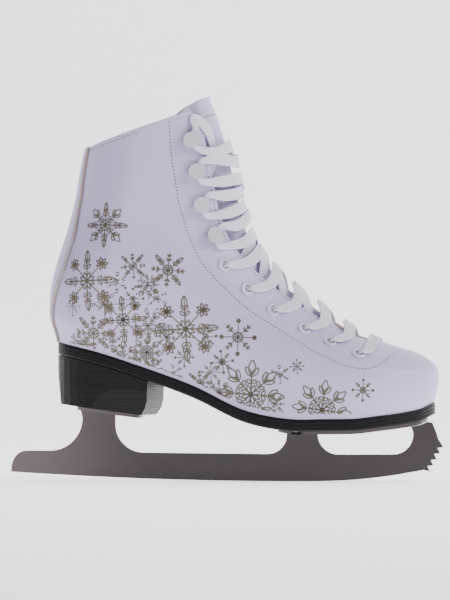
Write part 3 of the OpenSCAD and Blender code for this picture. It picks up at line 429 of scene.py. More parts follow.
def cloth(name, colour, shade, size=0.5, nap=0.5, sheen=0.3):
    f = Finish(name, colour, 0.92, Sheen_Weight=sheen, Sheen_Roughness=0.45)
    at = f.place()
    parts = f.node("ShaderNodeSeparateXYZ", {}, {"Vector": at}, "X")
    x = parts
    z = Value(f, parts.socket.node.outputs["Z"])
    y = Value(f, parts.socket.node.outputs["Y"])
    turn = 2 * math.pi / size
    weave = ((x + y) * turn).sine() * ((z - y) * turn).sine()
    fuzz = f.noise(0.35, 5, 0.7)
    f.feed("Base Color", f.mix(fuzz * 0.5 + weave * 0.2 + f.noise(14, 2) * 0.3, colour, shade))
    f.bump(weave * (0.5 - 0.5 * nap) + fuzz * (0.4 + nap), 0.12)
    return f.material


def foam(name, colour):
    f = Finish(name, colour, 0.95)
    pore = f.cells(0.8).between(0.1, 0.6)
    # Painted shade: the pores are coloured darker inside the pits
    f.feed("Base Color", f.mix(1 - pore, colour, tuple(0.6 * k for k in colour)))
    f.bump(pore, 0.3)
    return f.material


def steel(name, colour, roughness=0.32, stretch=(0.05, 1, 1.6)):
    f = Finish(name, colour, roughness, 1.0)
    lines = f.noise(0.28, 4, 0.6, at=f.place(stretch))
    broad = f.noise(30, 2)
    stains = f.noise(7, 4, 0.6)
    length = f.node("ShaderNodeSeparateXYZ", {}, {"Vector": f.place()}, "X")
    # Painted reflection: the base colour grows lighter towards the tail (negative X), standing in for the
    # brighter reflection there
    painted_tail_reflection = (0 - length).between(40, 150) * 0.8
    worn = f.mix(broad * 0.35 + lines * 0.35 + stains * 0.15, colour, tuple(0.7 * k for k in colour))
    f.feed("Base Color", f.mix(painted_tail_reflection, worn, tuple(2.1 * k for k in colour)))
    f.feed("Roughness", roughness - 0.06 + 0.14 * lines + 0.06 * stains)
    f.bump(lines, 0.018, 0.5)
    return f.material


def enamel(name, colour):
    f = Finish(name, colour, 0.3, Coat_Weight=0.4, Coat_Roughness=0.15)
    orange = f.noise(0.9, 2)
    wear = f.noise(2.2, 4, 0.7).between(0.62, 0.75)
    f.feed("Base Color", f.mix(wear * 0.25, colour, tuple(0.72 * k for k in colour)))
    f.feed("Roughness", 0.26 + 0.12 * orange)
    f.bump(orange, 0.02)
    return f.material


def black_sole(name, colour, pitch_mm, depth):
    """Satin black with fine lines a pitch apart, level with the ground."""
    f = Finish(name, colour, 0.38, Specular_IOR_Level=0.22)
    rise = f.node("ShaderNodeSeparateXYZ", {}, {"Vector": f.place()}, "Z")
    wave = (rise * (2 * math.pi / pitch_mm) + f.noise(25, 2) * 0.8).sine() * 0.5 + 0.5
    lines = wave.between(0.02, 0.3)
    scuffs = f.noise(3.5, 5, 0.65)
    f.feed("Base Color", f.mix(scuffs.between(0.5, 0.8) * 0.35 + (1 - lines) * 0.3, colour,
                               tuple(1.9 * k for k in colour)))
    f.feed("Roughness", 0.34 + 0.2 * scuffs + 0.1 * (1 - lines))
    f.bump(lines * 0.8 + scuffs * 0.2, depth)
    return f.material


def board(name, colour):
    f = Finish(name, colour, 0.8)
    grain = f.noise(1.2, 5, 0.7)
    f.feed("Base Color", f.mix(grain, colour, tuple(0.7 * k for k in colour)))
    f.bump(grain, 0.1)
    return f.material


def ribbed_lace(name, colour, shade):
    """Flat woven lace. across and along are millimetres over and down the ribbon."""
    f = Finish(name, colour, 0.82, Sheen_Weight=0.25, Sheen_Roughness=0.5)
    across, along = f.along("across"), f.along("along")
    herring = (along * 5.2 + (across * 5.9).sine() * 1.1).sine() * 0.5 + 0.5
    # Painted shade: the valleys between the ribs are coloured towards the shade colour; the herringbone and
    # fuzz are the weave's own tone
    valley_painted_shade = ((across * 5.9).sine() * 0.5 + 0.5).between(0.0, 0.4)
    fuzz = f.noise(0.3, 4, 0.7)
    f.feed("Base Color", f.mix((1 - valley_painted_shade) * 0.8 + (1 - herring) * 0.3 + fuzz * 0.15, colour, shade))
    f.bump(herring * 0.5 + fuzz * 0.4, 0.09)
    return f.material


def glitter_print(name, colour, shade):
    f = Finish(name, colour, 0.5, 0.35)
    specks = f.cells(0.22)
    f.feed("Base Color", f.mix(specks.between(0.2, 0.6), colour, shade))
    f.feed("Roughness", 0.35 + 0.4 * specks)
    f.bump(specks, 0.03)
    return f.material


def plastic(name, colour):
    f = Finish(name, colour, 0.25, Coat_Weight=0.3)
    f.feed("Roughness", 0.2 + 0.15 * f.noise(1.5, 3))
    return f.material


WHITE = (0.6, 0.53, 0.80)
WHITE_SHADE = (0.5, 0.435, 0.69)
white_leather = leather("white_leather", WHITE, WHITE_SHADE)
tongue_leather = leather("tongue_leather", (0.61, 0.545, 0.78), WHITE_SHADE, 0.46)
facing_leather = leather("facing_leather", (0.6, 0.57, 0.55), (0.45, 0.42, 0.4), 0.7)
beige_edge = raw_edge("raw_leather_edge", (0.55, 0.44, 0.34))
lining_felt = cloth("lining_felt", (0.36, 0.39, 0.47), (0.26, 0.28, 0.35), 0.6, 0.6)
tongue_felt = cloth("tongue_felt", (0.3, 0.34, 0.43), (0.22, 0.25, 0.32), 0.6, 0.9)
footbed_cloth = cloth("footbed_cloth", (0.33, 0.37, 0.46), (0.24, 0.27, 0.35), 0.8, 0.3)
pad_foam = foam("pad_foam", (0.62, 0.54, 0.38))
thread = cloth("seam_thread", (0.6, 0.575, 0.68), (0.45, 0.43, 0.52), 0.25, 0.2, 0.1)
# Near-black for the needle holes: painted shade inside the holes
needle_hole_painted_shade = raw_edge("needle_hole_painted_shade", (0.035, 0.03, 0.04))
lace_weave = ribbed_lace("lace_weave", (0.93, 0.88, 1.0), (0.5, 0.45, 0.63))
snow_print = glitter_print("bronze_glitter_print", (0.2, 0.175, 0.12), (0.13, 0.11, 0.075))
sole_black = black_sole("outsole_black", (0.005, 0.0046, 0.006), 2.05, 0.03)
heel_black = black_sole("heel_black", (0.005, 0.0046, 0.006), 1.55, 0.16)
blade_steel = steel("blade_steel", (0.09, 0.076, 0.081))
plate_steel = steel("plate_steel", (0.12, 0.102, 0.108), 0.36)
small_steel = steel("small_steel", (0.6, 0.58, 0.56), 0.28, (1, 1, 1))
hook_enamel = enamel("hook_enamel", (0.56, 0.525, 0.61))
# Near-black enamel for the hook necks and the eyelet hollows: painted shade where they lie in shadow
painted_shade_enamel = enamel("painted_shade_enamel", (0.06, 0.055, 0.09))
eyelet_enamel = enamel("eyelet_enamel", (0.66, 0.62, 0.76))
tip_plastic = plastic("tip_plastic", (0.7, 0.7, 0.74))
fibre_board = board("fibre_board", (0.42, 0.3, 0.18))

# ---- Meshes ------------------------------------------------------------------


def make(name, points, faces, finishes, body="skate", shade_smooth=True, face_finish=None, carried=None):
    """A piece from points in millimetres. carried holds numbers that each vertex keeps for its finish."""
    mesh = bpy.data.meshes.new(name)
    mesh.from_pydata((np.asarray(points) * MM).tolist(), [], [tuple(int(i) for i in f) for f in faces])
    for key, values in (carried or {}).items():
        mesh.attributes.new(key, "FLOAT", "POINT").data.foreach_set("value", np.asarray(values,
                                                                                        np.float32).ravel())
    made = bpy.data.objects.new(name, mesh)
    bpy.context.scene.collection.objects.link(made)
    for finish in finishes:
        mesh.materials.append(finish)
    if face_finish is not None:
        mesh.polygons.foreach_set("material_index", np.asarray(face_finish, np.int32))
    mesh.polygons.foreach_set("use_smooth", [shade_smooth] * len(mesh.polygons))
    mesh.update()
    return made


def grid_faces(n, m, closed=False):
    """Faces of a grid of n rows and m columns, turned so that a boot grid faces out."""
    wide = m if closed else m - 1
    i, j = np.meshgrid(np.arange(n - 1), np.arange(wide), indexing="ij")
    k = (j + 1) % m
    return np.stack([i * m + j, i * m + k, (i + 1) * m + k, (i + 1) * m + j], -1).reshape(-1, 4)[:, ::-1]


def settle(made, *modifiers):
    """Applies modifiers, so that the mesh itself holds the shape."""
    for kind, settings in modifiers:
        modifier = made.modifiers.new(kind.lower(), kind)
        for key, value in settings.items():
            setattr(modifier, key, value)
    seen = made.evaluated_get(bpy.context.evaluated_depsgraph_get())
    mesh = bpy.data.meshes.new_from_object(seen)
    made.modifiers.clear()
    made.data = mesh
    return made


def weld(made, distance=0.0005):
    return settle(made, ("WELD", {"merge_threshold": distance * MM}))


def thick(made, thickness, offset=-1, round_off=0.35, rim=1):
    """Gives a sheet its thickness under its face, with rounded rims in the next finish."""
    solid = {"thickness": thickness * MM, "offset": offset, "use_rim": True, "material_offset_rim": rim,
             "use_even_offset": False}
    soft = {"width": round_off * MM, "segments": 2, "limit_method": "ANGLE",
            "angle_limit": math.radians(55)}
    return settle(made, ("SOLIDIFY", solid), ("BEVEL", soft))


# ---- Lines of stitches ---------------------------------------------------------

FACING_LINE = [(0.992, 0.64), (0.943, 0.62), (0.898, 0.615), (0.788, 0.621), (0.73, 0.635), (0.66, 0.644),
               (0.58, 0.64), (0.511, 0.655), (0.463, 0.67), (0.408, 0.69), (0.37, 0.71), (0.318, 0.745),
               (0.261, 0.766), (0.218, 0.768), (0.184, 0.776), (0.159, 0.79), (0.146, 0.813), (0.141, 0.84),
               (0.147, 0.871), (0.165, 0.91), (0.19, 0.955), (0.2, 0.99)]


def smooth_path(points, step=0.4):
    """An even path through points, a step apart."""
    points = np.asarray(points, float)
    at = np.concatenate([[0], np.cumsum(np.linalg.norm(np.diff(points, axis=0), axis=1))])
    table = Table(np.column_stack([at, points]))
    fine = table(np.arange(0, at[-1], step))
    return fine


def row_path(v, c, step=0.4):
    """Rows and columns along an even path over the skin, from a coarse list."""
    v, c = np.asarray(v, float), np.asarray(c, float)
    at = np.concatenate([[0], np.cumsum(np.linalg.norm(np.diff(skin(v, c), axis=0), axis=1))])
    table = Table(np.column_stack([at, v, c]))
    found = table(np.arange(0, at[-1], step))
    return found[:, 0], found[:, 1]


def column_step(v, c, distance):
    """Column change that moves a distance along the row."""
    return distance / np.linalg.norm((skin(v, c + 0.01) - skin(v, c - 0.01)) / 0.02, axis=-1)


def row_step(v, c, distance):
    return distance / np.linalg.norm((skin(v + 0.01, c) - skin(v - 0.01, c)) / 0.02, axis=-1)


def facing_seam(side):
    rows = np.array(FACING_LINE)
    return row_path(rows[:, 0], side * column(rows[:, 1]))


def edge_seam(side):
    v = np.linspace(0.285, 0.965, 40)
    c = edge_column(v, side)
    c = c - column_step(v, c, 2.6)
    return row_path(collar_row(v, c), side * c)


def collar_seam():
    t = np.linspace(-0.985, 0.985, 90)
    c = t * np.where(t < 0, edge_column(1.0, -1), edge_column(1.0, 1))
    v = collar_row(1.0, c)
    return row_path(v - row_step(v, c, 2.8), c)


def backstay_seam(side):
    v = np.linspace(0.06, 0.985, 40)
    c = column(straight(BACKSTAY_EDGE, v))
    return row_path(v, side * (c - column_step(v, c, 1.6)))


SEAMS = {"facing_outer": facing_seam(-1), "facing_inner": facing_seam(1), "edge_outer": edge_seam(-1),
         "edge_inner": edge_seam(1), "collar": collar_seam()}


def stitches(name, v, c, depth, body="skate", gap=2.3, length=1.9, place=None):
    """Stitches along a path: a thread lying in the seam and a needle hole at each end, drawn as a small
    near-black cone of painted shade.
    """
    place = place or (lambda a, b, d: under(a, b, d))
    centre = place(v, c, np.full(len(v), depth))
    lift = out(v, c)
    along = np.concatenate([[0], np.cumsum(np.linalg.norm(np.diff(centre, axis=0), axis=1))])
    starts = np.arange(gap / 2, along[-1] - gap / 2, gap)
    points, faces, kinds = [], [], []
    ring = 6
    for start in starts:
        stops = start + length * np.array([-0.5, -0.42, -0.2, 0.2, 0.42, 0.5])
        swell = [0.1, 0.75, 1, 1, 0.75, 0.1]
        p = np.stack([np.interp(stops, along, centre[:, k]) for k in range(3)], -1)
        up = unit(np.stack([np.interp(stops, along, lift[:, k]) for k in range(3)], -1))
        ahead = unit(np.gradient(p, axis=0))
        wide = unit(np.cross(up, ahead))
        base = len(points)
        for i in range(len(stops)):
            dip = 0.2 * abs(i - 2.5) / 2.5
            for a in np.arange(ring) * 2 * np.pi / ring:
                off = wide[i] * 0.3 * np.cos(a) * swell[i] + up[i] * (0.22 * np.sin(a) * swell[i] - dip)
                points.append(p[i] + off)
        for i in range(len(stops) - 1):
            for k in range(ring):
                a, b = base + i * ring + k, base + i * ring + (k + 1) % ring
                faces.append((a, b, b + ring, a + ring))
                kinds.append(0)
        faces.append(tuple(base + k for k in range(ring))[::-1])
        faces.append(tuple(base + (len(stops) - 1) * ring + k for k in range(ring)))
        kinds += [0, 0]
        # Each needle hole is a small near-black cone, painted shade
        hole = len(points)
        for a in np.arange(8) * 2 * np.pi / 8:
            points.append(p[0] + wide[0] * 0.46 * np.cos(a) + ahead[0] * 0.5 * np.sin(a) + up[0] * 0.17)
        points.append(p[0] + up[0] * 0.12)
        for k in range(8):
            faces.append((hole + k, hole + (k + 1) % 8, hole + 8))
            kinds.append(1)
    made = make(name, points, faces, [thread, needle_hole_painted_shade], face_finish=kinds)
    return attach(made, body)


def seam_dip(points, width=0.8):
    """Depth of the soft groove that the seams pull into the leather."""
    lines = np.concatenate([skin(v, c) for v, c in SEAMS.values()])
    best = np.full(len(points), 1e9)
    for chunk in np.array_split(lines, 12):
        gap = np.linalg.norm(points[:, None, :] - chunk[None, :, :], axis=-1).min(1)
        best = np.minimum(best, gap)
    return 0.1 * np.exp(-((best / width) ** 2))


# ---- The upper, its backstay and its lining ------------------------------------

UPPER_ROWS = np.concatenate([np.linspace(-0.004, 0.24, 53), np.linspace(0.2445, 0.33, 30),
                             np.linspace(0.337, 1, 112)])
UPPER_HALF = 110


def boot_grid(rows, half, top=1.0, inset=0.0):
    """Rows and columns of the boot. The front is closed below the throat and open above it."""
    t = np.linspace(-1, 1, 2 * half + 1)[None, :]
    v = np.minimum(rows, top)[:, None]
    reach = np.where(t < 0, edge_column(v, -1), edge_column(v, 1)) - np.where(v > THROAT_V, inset, 0)
    c = t * reach
    return collar_row(np.broadcast_to(v, c.shape), c), c


def upper_piece():
    v, c = boot_grid(UPPER_ROWS, UPPER_HALF)
    flat = skin(v, c).reshape(-1, 3)
    dip = seam_dip(flat).reshape(v.shape)
    points = under(v, c, dip)
    made = make("upper_shell", points.reshape(-1, 3), grid_faces(*v.shape), [white_leather, beige_edge])
    weld(made)
    thick(made, LEATHER_T, round_off=0.3)
    for face in made.data.polygons:
        if face.center.z < sole_top(face.center.x / MM) * MM + 0.002:
            face.material_index = 0
    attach(made, "skate")
    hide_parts("upper")
    return made


def backstay_piece():
    v = np.linspace(0.004, 0.998, 120)[:, None]
    w = column(straight(BACKSTAY_EDGE, v))
    t = np.linspace(-1, 1, 25)[None, :]
    c = w * t
    v = np.broadcast_to(v, c.shape)
    seam = 0.18 * np.exp(-(((1 - np.abs(t)) * w / column_step(v, c, 1.0) - 1.6) / 0.8) ** 2)
    points = under(v, c, seam - BACKSTAY_T - 2 * LAYER_GAP)
    made = make("backstay_strip", points.reshape(-1, 3), grid_faces(*c.shape), [white_leather, beige_edge])
    thick(made, BACKSTAY_T, round_off=0.3)
    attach(made, "skate")
    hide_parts("backstay")
    for side, name in ((-1, "outer"), (1, "inner")):
        stitches("backstay_stitches_" + name, *backstay_seam(side), -BACKSTAY_T - 2 * LAYER_GAP + 0.1)


def lining_piece():
    rows = np.concatenate([np.linspace(0.03, 0.24, 30), np.linspace(0.2445, 0.33, 22), np.linspace(0.34,
        0.997, 90)])
    v, c = boot_grid(rows, 70, inset=0.004)
    roll = smooth((v - collar_row(0.945, c)) / 0.05)
    depth = lining_depth(np.minimum(v, 0.95), c)
    depth = depth + (LEATHER_T + 0.25 - depth) * roll**2
    made = make("lining_skin", under(v, c, depth).reshape(-1, 3), grid_faces(*v.shape), [lining_felt,
                                                                                         lining_felt])
    weld(made)
    thick(made, 0.8, round_off=0.2, rim=0)
    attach(made, "skate")
    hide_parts("lining")


upper_piece()
backstay_piece()
lining_piece()
for seam_name, (seam_v, seam_c) in SEAMS.items():
    stitches("stitches_" + seam_name, seam_v, seam_c, 0.2)

# ---- The tongue ------------------------------------------------------------------


def tongue_grid(inset, half=36, n=110):
    low = 0.25
    v = np.linspace(low, 1 - inset, n)[:, None]
    t = np.linspace(-1, 1, 2 * half + 1)[None, :]
    w = 1 - column(straight(TONGUE_EDGE, v)) - inset
    c = 1 + w * t
    rise = (0.012 - 0.02 * np.abs(t) ** 3) * smooth((v - 0.9) / 0.1)
    return v + rise, c, t


def rim_share(v, t):
    """1 at the tongue's rim and 0 from a little way in."""
    side = np.clip((np.abs(t) - 0.8) / 0.2, 0, 1)
    top = np.clip((v - 0.955) / 0.045, 0, 1)
    return np.clip(np.hypot(side, top), 0, 1) ** 2


def tongue_place(v, c, d):
    return under(v, c, tongue_depth(v, c) + d)


def tongue_pieces():
    v, c, t = tongue_grid(0.0)
    pinch = 2.4 * rim_share(v, t)
    top_line = 0.25 * np.exp(-((np.hypot(np.clip((np.abs(t) - 0.88) / 0.03, -9, 9), 0)) ** 2))
    face = make("tongue_face_skin", tongue_place(v, c, pinch + top_line).reshape(-1, 3),
                grid_faces(*v.shape),
                [tongue_leather, tongue_leather])
    thick(face, 1.3, round_off=0.35, rim=0)
    back = make("tongue_lining_skin", tongue_place(v, c, TONGUE_T - 0.7 - pinch * 0.9).reshape(-1, 3),
                grid_faces(*v.shape), [tongue_felt, tongue_felt])
    thick(back, 0.8, round_off=0.25, rim=0)
    v, c, t = tongue_grid(0.01, 24, 70)
    pinch = 2.2 * rim_share(v, t)
    front_points = tongue_place(v, c, 1.45 + pinch).reshape(-1, 3)
    back_points = tongue_place(v, c, TONGUE_T - 0.85 - pinch * 0.9).reshape(-1, 3)
    n, m = v.shape
    skip = n * m
    loop = [*range(m), *[i * m + m - 1 for i in range(1, n)], *[(n - 1) * m + j for j in range(m - 2, -1,
                                                                                               -1)],
            *[i * m for i in range(n - 2, 0, -1)]]
    rim = [(a, b, b + skip, a + skip) for a, b in zip(loop, loop[1:] + loop[:1])]
    faces = [*grid_faces(n, m), *(grid_faces(n, m)[:, ::-1] + skip), *rim]
    core = make("tongue_foam", np.concatenate([front_points, back_points]), faces, [pad_foam])
    for piece, node, slot in ((face, "tongue_face", "tongue_leather"), (back, "tongue_lining",
                                                                        "tongue_cloth"),
                              (core, "tongue_padding", "foam")):
        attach(piece, "tongue")
        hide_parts(node)
    t = np.concatenate([np.full(60, -0.9), np.linspace(-0.9, 0.9, 60)[1:-1], np.full(60, 0.9)])
    v = np.concatenate([np.linspace(0.3, 0.975, 60), np.full(58, 0.975), np.linspace(0.975, 0.3, 60)])
    w = 1 - column(straight(TONGUE_EDGE, v))
    rise = (0.012 - 0.02 * np.abs(t) ** 3) * smooth((v - 0.9) / 0.1)
    path_v, path_c = row_path(v + rise, 1 + w * t)
    side_share = (path_c - 1) / (1 - column(straight(TONGUE_EDGE, path_v)))
    depth = 2.4 * rim_share(path_v, side_share)
    stitches("tongue_stitches", path_v, path_c, 0.0, "tongue",
             place=lambda a, b, d: tongue_place(a, b, depth + d + 0.1))


tongue_pieces()

# ---- The lace ---------------------------------------------------------------------

RIDGE = [0.262, 0.344, 0.433, 0.515, 0.59, 0.655, 0.708, 0.782, 0.852, 0.922]
LACE_W = 8.5
LACE_T = 1.3
LACE_H = 1.4
HOLE_W = 2.5
HOLE_T = 1.5
LIFT_V = 0.03
BAND_V = 0.015
RIDGE_H = -0.5
LACE_OVER = 1.5
CROSS_C = 0.9
CROSS_SPREAD = 0.05
CROSS_LIFT = 1.5
AHEAD_S = 0.085


def one_skin(v, c):
    return skin(np.array(v, float), np.array(c, float))


def one_out(v, c):
    return out(np.array(v, float), np.array(c, float))


def hole_column(row, side):
    return side * column(row[1] if side < 0 else row[2])


def frame_at(v, c):
    """Place, ahead along the row, up and out at a hole."""
    z = one_out(v, c)
    e = -0.004 if c < 0 else 0.004
    y = unit(np.cross(z, one_skin(v, c + e) - one_skin(v, c - e)))
    x = np.cross(y, z)
    return one_skin(v, c), x, y * (1 if c < 0 else -1), z


def local(f, a, b, h, w, t, hint=None):
    return f[0] + a * f[1] + b * f[2] + h * f[3], f[3] if hint is None else hint, w, t


def on(v, c, h, w=LACE_W, t=LACE_T):
    return one_skin(v, c) + h * one_out(v, c), one_out(v, c), w, t


def through(f):
    """Through an eyelet from outside to inside."""
    return [local(f, 4.9, 0, 2.15, 6.3, 1.4), local(f, 2, 0, 2.75, 3.2, 1.5, unit(f[3] + 0.6 * f[1])),
            local(f, 0.3, 0, 1.2, HOLE_W, HOLE_T, f[1]), local(f, 0.2, 0, -3, HOLE_W, HOLE_T, f[1]),
            local(f, 0.1, 0, -7, 2.4, 1.4, unit(f[1] - 0.4 * f[3])), local(f, 3.4, 0, -7.95, 5.5, 1.2,
                                                                           -f[3])]


def round_hook(f):
    """Round a hook's neck from below to above."""
    return [local(f, 5.9, -6.9, 2.4, 4.4, 1.4), local(f, 2.5, -4.4, 3.45, 2.4, 2), local(f, 1.3, -1.5,
                                                                                         3.5, 2.2, 2),
            local(f, 1.3, 1.5, 3.5, 2.2, 2), local(f, 2.5, 4.4, 3.45, 2.4, 2), local(f, 5.9, 6.9, 2.4,
                                                                                     4.4, 1.4)]


def across(c0, to, side, v0, v1, ridge_v, top, hidden, n=9):
    """Across the gap from one side to the other. hidden is true where it starts under the facing.

    Above the eyelets the two bands lie side by side at the ridge, and cross on the inner side."""
    c1 = 2 - to
    found = []
    ridge = Table([[0, v0], [(1 - c0) / (c1 - c0), ridge_v], [1, v1]])
    for i in range(1, n):
        q = i / n
        c = c0 + (c1 - c0) * q
        v = float(ridge.one(q))
        edge = float(edge_column(max(v, 0.27), side))
        past = float(smooth((c - edge - 0.03) / (0.97 - edge)))
        start = 1.25 - float(tongue_depth(np.array(v),
                                          np.array(c if side > 0 else 2 - c))) if hidden else LACE_H
        if c < 1:
            rise = past if hidden else float(smooth((c - edge + 0.04) / (1 - edge)))
            h = start + (top - start) * rise
        else:
            h = top + (LACE_H - top) * float(smooth((c - 1) / 0.11))
        if not hidden and top > 0:
            inner_c = c if side > 0 else 2 - c
            h += CROSS_LIFT * math.exp(-(((inner_c - CROSS_C) / CROSS_SPREAD) ** 2))
        w = LACE_W * (1 - 0.2 * (2 * q - 1) ** 2)
        p = on(v, side * c, h, w)
        found.append((p[0], -p[1], w, LACE_T) if hidden and c < 1 and past < 0.5 else p)
    return found


def lace_half(half):
    row = EYELETS[0]
    c = abs(hole_column(row, half))
    route = []
    for i in range(4):
        q = i / 4
        v = RIDGE[0] + (row[0] + 0.004 - RIDGE[0]) * q * q
        route.append(on(v, half * (1 - (1 - c - 0.03) * q), LACE_H + 0.1, LACE_W * (1 - 0.1 * q)))
    rows = EYELETS + HOOKS
    top = RIDGE_H if half > 0 else RIDGE_H + LACE_OVER
    for k in range(10):
        row = rows[k]
        side = half * (1 if k % 2 == 0 else -1)
        f = frame_at(row[0], hole_column(row, side))
        route += through(f) if k < 6 else round_hook(f)
        if k == 9:
            continue
        ahead = rows[k + 1]
        start_c = abs(hole_column(row, side)) + 0.03
        hook_c = lambda r, s: column((r[1] if s < 0 else r[2]) + AHEAD_S)
        if k < 5:
            route += across(start_c, abs(hole_column(ahead, -side)) + 0.035, side, row[0], ahead[0],
                            RIDGE[k + 1], top, True)
        elif k == 5:
            route += across(start_c, hook_c(ahead, -side), side, row[0], ahead[0] - LIFT_V, RIDGE[6], top,
                            True)
        else:
            route += across(hook_c(row, side), hook_c(ahead, -side), side, row[0] + LIFT_V,
                            ahead[0] - LIFT_V,
                            RIDGE[k + 1] + side * BAND_V, top, False)
    side = half * -1
    for v, s, h, w in ((0.985, 0.8, 1.1, 6.5), (0.978, 0.845, 0.9, 7), (0.962, 0.885, -0.6, 7), (0.94,
        0.905, -2.6, 6),
                       (0.915, 0.9, -3.6, 5.5), (0.89, 0.875, -5, 5), (0.868, 0.845, -6.6, 4.6), (0.84,
                           0.828, -7.4, 4.4),
                       (0.8, 0.825, -7.4, 4.2), (0.77, 0.825, -7.4, 3.4)):
        route.append(on(v, side * column(s), h, w))
    return route


def nearest_on_skin(points):
    """Rows and columns of the skin's points that lie nearest to points beside it."""
    grid_v, grid_c = np.meshgrid(np.linspace(0.1, 1.04, 64), np.linspace(-1, 1, 160), indexing="ij")
    grid = skin(grid_v, grid_c).reshape(-1, 3)
    near = np.concatenate([((chunk[:,
        None] - grid) ** 2).sum(-1).argmin(1) for chunk in np.array_split(points, 40)])
    v, c = grid_v.ravel()[near], grid_c.ravel()[near]
    e = 0.003
    for _ in range(5):
        miss = points - skin(v, c)
        dv = (skin(v + e, c) - skin(v - e, c)) / (2 * e)
        dc = (skin(v, c + e) - skin(v, c - e)) / (2 * e)
        a, b, d = (dv * dv).sum(-1), (dv * dc).sum(-1), (dc * dc).sum(-1)
        r, s = (miss * dv).sum(-1), (miss * dc).sum(-1)
        det = a * d - b * b
        v = np.clip(v + np.clip((r * d - s * b) / det, -0.03, 0.03), 0.05, 1.06)
        c = c + np.clip((s * a - r * b) / det, -0.03, 0.03)
        c = np.where(c > 1, c - 2, np.where(c < -1, c + 2, c))
    return v, c


def soften(values, spread):
    """Rolling average of the rows of values."""
    reach = np.arange(-3 * spread, 3 * spread + 1)
    weight = np.exp(-0.5 * (reach / spread) ** 2)
    weight /= weight.sum()
    padded = np.pad(values, ((3 * spread, 3 * spread), (0, 0)), "edge")
    return np.stack([np.convolve(padded[:, k], weight, "valid") for k in range(values.shape[1])], -1)


def lace_piece():
    route = lace_half(1)[::-1] + lace_half(-1)[1:]
    places = np.array([r[0] for r in route])
    hints = np.array([r[1] for r in route])
    sizes = np.array([[r[2], r[3]] for r in route])
    ahead = unit(np.gradient(places, axis=0))
    wide = unit(np.cross(ahead, hints))
    for i in range(1, len(wide)):
        if wide[i] @ wide[i - 1] < 0:
            wide[i] = -wide[i]
    at = np.concatenate([[0], np.cumsum(np.linalg.norm(np.diff(places, axis=0), axis=1))])
    fine = np.arange(0, at[-1], 0.7)
    centre = Table(np.column_stack([at, places]))(fine)
    wide = Table(np.column_stack([at, wide]))(fine)
    width = soften(np.interp(fine, at, sizes[:, 0])[:, None], 2)[:, 0]
    height = np.interp(fine, at, sizes[:, 1])
    centre = soften(centre, 1)
    ahead = unit(np.gradient(centre, axis=0))
    wide = soften(wide, 2)
    wide = unit(wide - (wide * ahead).sum(-1, keepdims=True) * ahead)
    up = np.cross(wide, ahead)
    ribs = 9
    side_n = 28
    u = np.linspace(-1, 1, side_n)
    bulge = np.sqrt(np.maximum(0, 1 - np.abs(u) ** 6)) * 0.5
    upper_u, upper_h = u, bulge
    form_u = np.concatenate([upper_u, upper_u[::-1][1:-1]])
    form_h = np.concatenate([upper_h, -upper_h[1:-1]])
    rib = 0.5 + 0.5 * np.cos(form_u * ribs * np.pi)
    form_h = form_h * (0.84 + 0.16 * rib)
    rng = np.random.default_rng(4)
    wander = np.interp(fine, np.linspace(0, at[-1], int(at[-1] / 9)), rng.uniform(-1, 1, int(at[-1] / 9)))
    cup = 0.25 * wander[:, None] * (form_u[None, :] ** 2 - 0.4) * (width[:, None] / LACE_W)
    points = (centre[:, None] + wide[:, None] * (form_u[None, :, None] * width[:, None, None] / 2)
              + up[:, None] * (form_h[None, :, None] * height[:, None, None] + cup[..., None]))
    # The ribbon bends over the boot wherever it lies outside it
    spans = np.linspace(-1, 1, 5)
    over = (centre[:, None] + wide[:, None] * (spans[None, :, None] * width[:, None,
                                                                            None] / 2)).reshape(-1, 3)
    v, c = nearest_on_skin(over)
    lift = out(v, c).reshape(len(fine), 5, 3)
    rise = ((over - skin(v, c)).reshape(len(fine), 5, 3) * lift).sum(-1)
    outside = smooth((rise[:, 2] - 0.3) / 0.8)[:, None]
    drop = np.clip(rise[:, 2:3] - rise, -1.6, 1.6) * outside
    for k in range(side_n):
        place = (u[k] + 1) * 2
        low = min(int(place), 3)
        part = place - low
        move = ((1 - part) * drop[:, low] + part * drop[:, low + 1])[:, None]
        toward = (1 - part) * lift[:, low] + part * lift[:, low + 1]
        points[:, k] += move * toward
        if 0 < k < side_n - 1:
            points[:, 2 * side_n - 2 - k] += move * toward
    n, m = points.shape[:2]
    faces = list(grid_faces(n, m, closed=True)) + [tuple(range(m)), tuple(range((n - 1) * m, n * m))[::-1]]
    carried = {"across": np.broadcast_to(form_u[None, :] * LACE_W / 2, (n, m)),
               "along": np.broadcast_to(fine[:, None], (n, m))}
    made = make("lace_ribbon", points.reshape(-1, 3), faces, [lace_weave], carried=carried)
    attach(made, "skate")
    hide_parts("lace")


lace_piece()

# ---- The outsole -------------------------------------------------------------------


def sole_profile():
    """Heights below the top of the outsole and how far out its edge stands at each."""
    levels = [(0.0, 1.2), (0.15, 0.35), (0.5, 0.0)]
    for groove in (1.7, 3.9, 6.1):
        levels += [(groove - 0.32, 0.0), (groove - 0.12, 0.34), (groove + 0.12, 0.34), (groove + 0.32, 0.0)]
    levels += [(SOLE_T - 0.8, 0.0), (SOLE_T - 0.3, 0.3), (SOLE_T, 0.9)]
    return levels


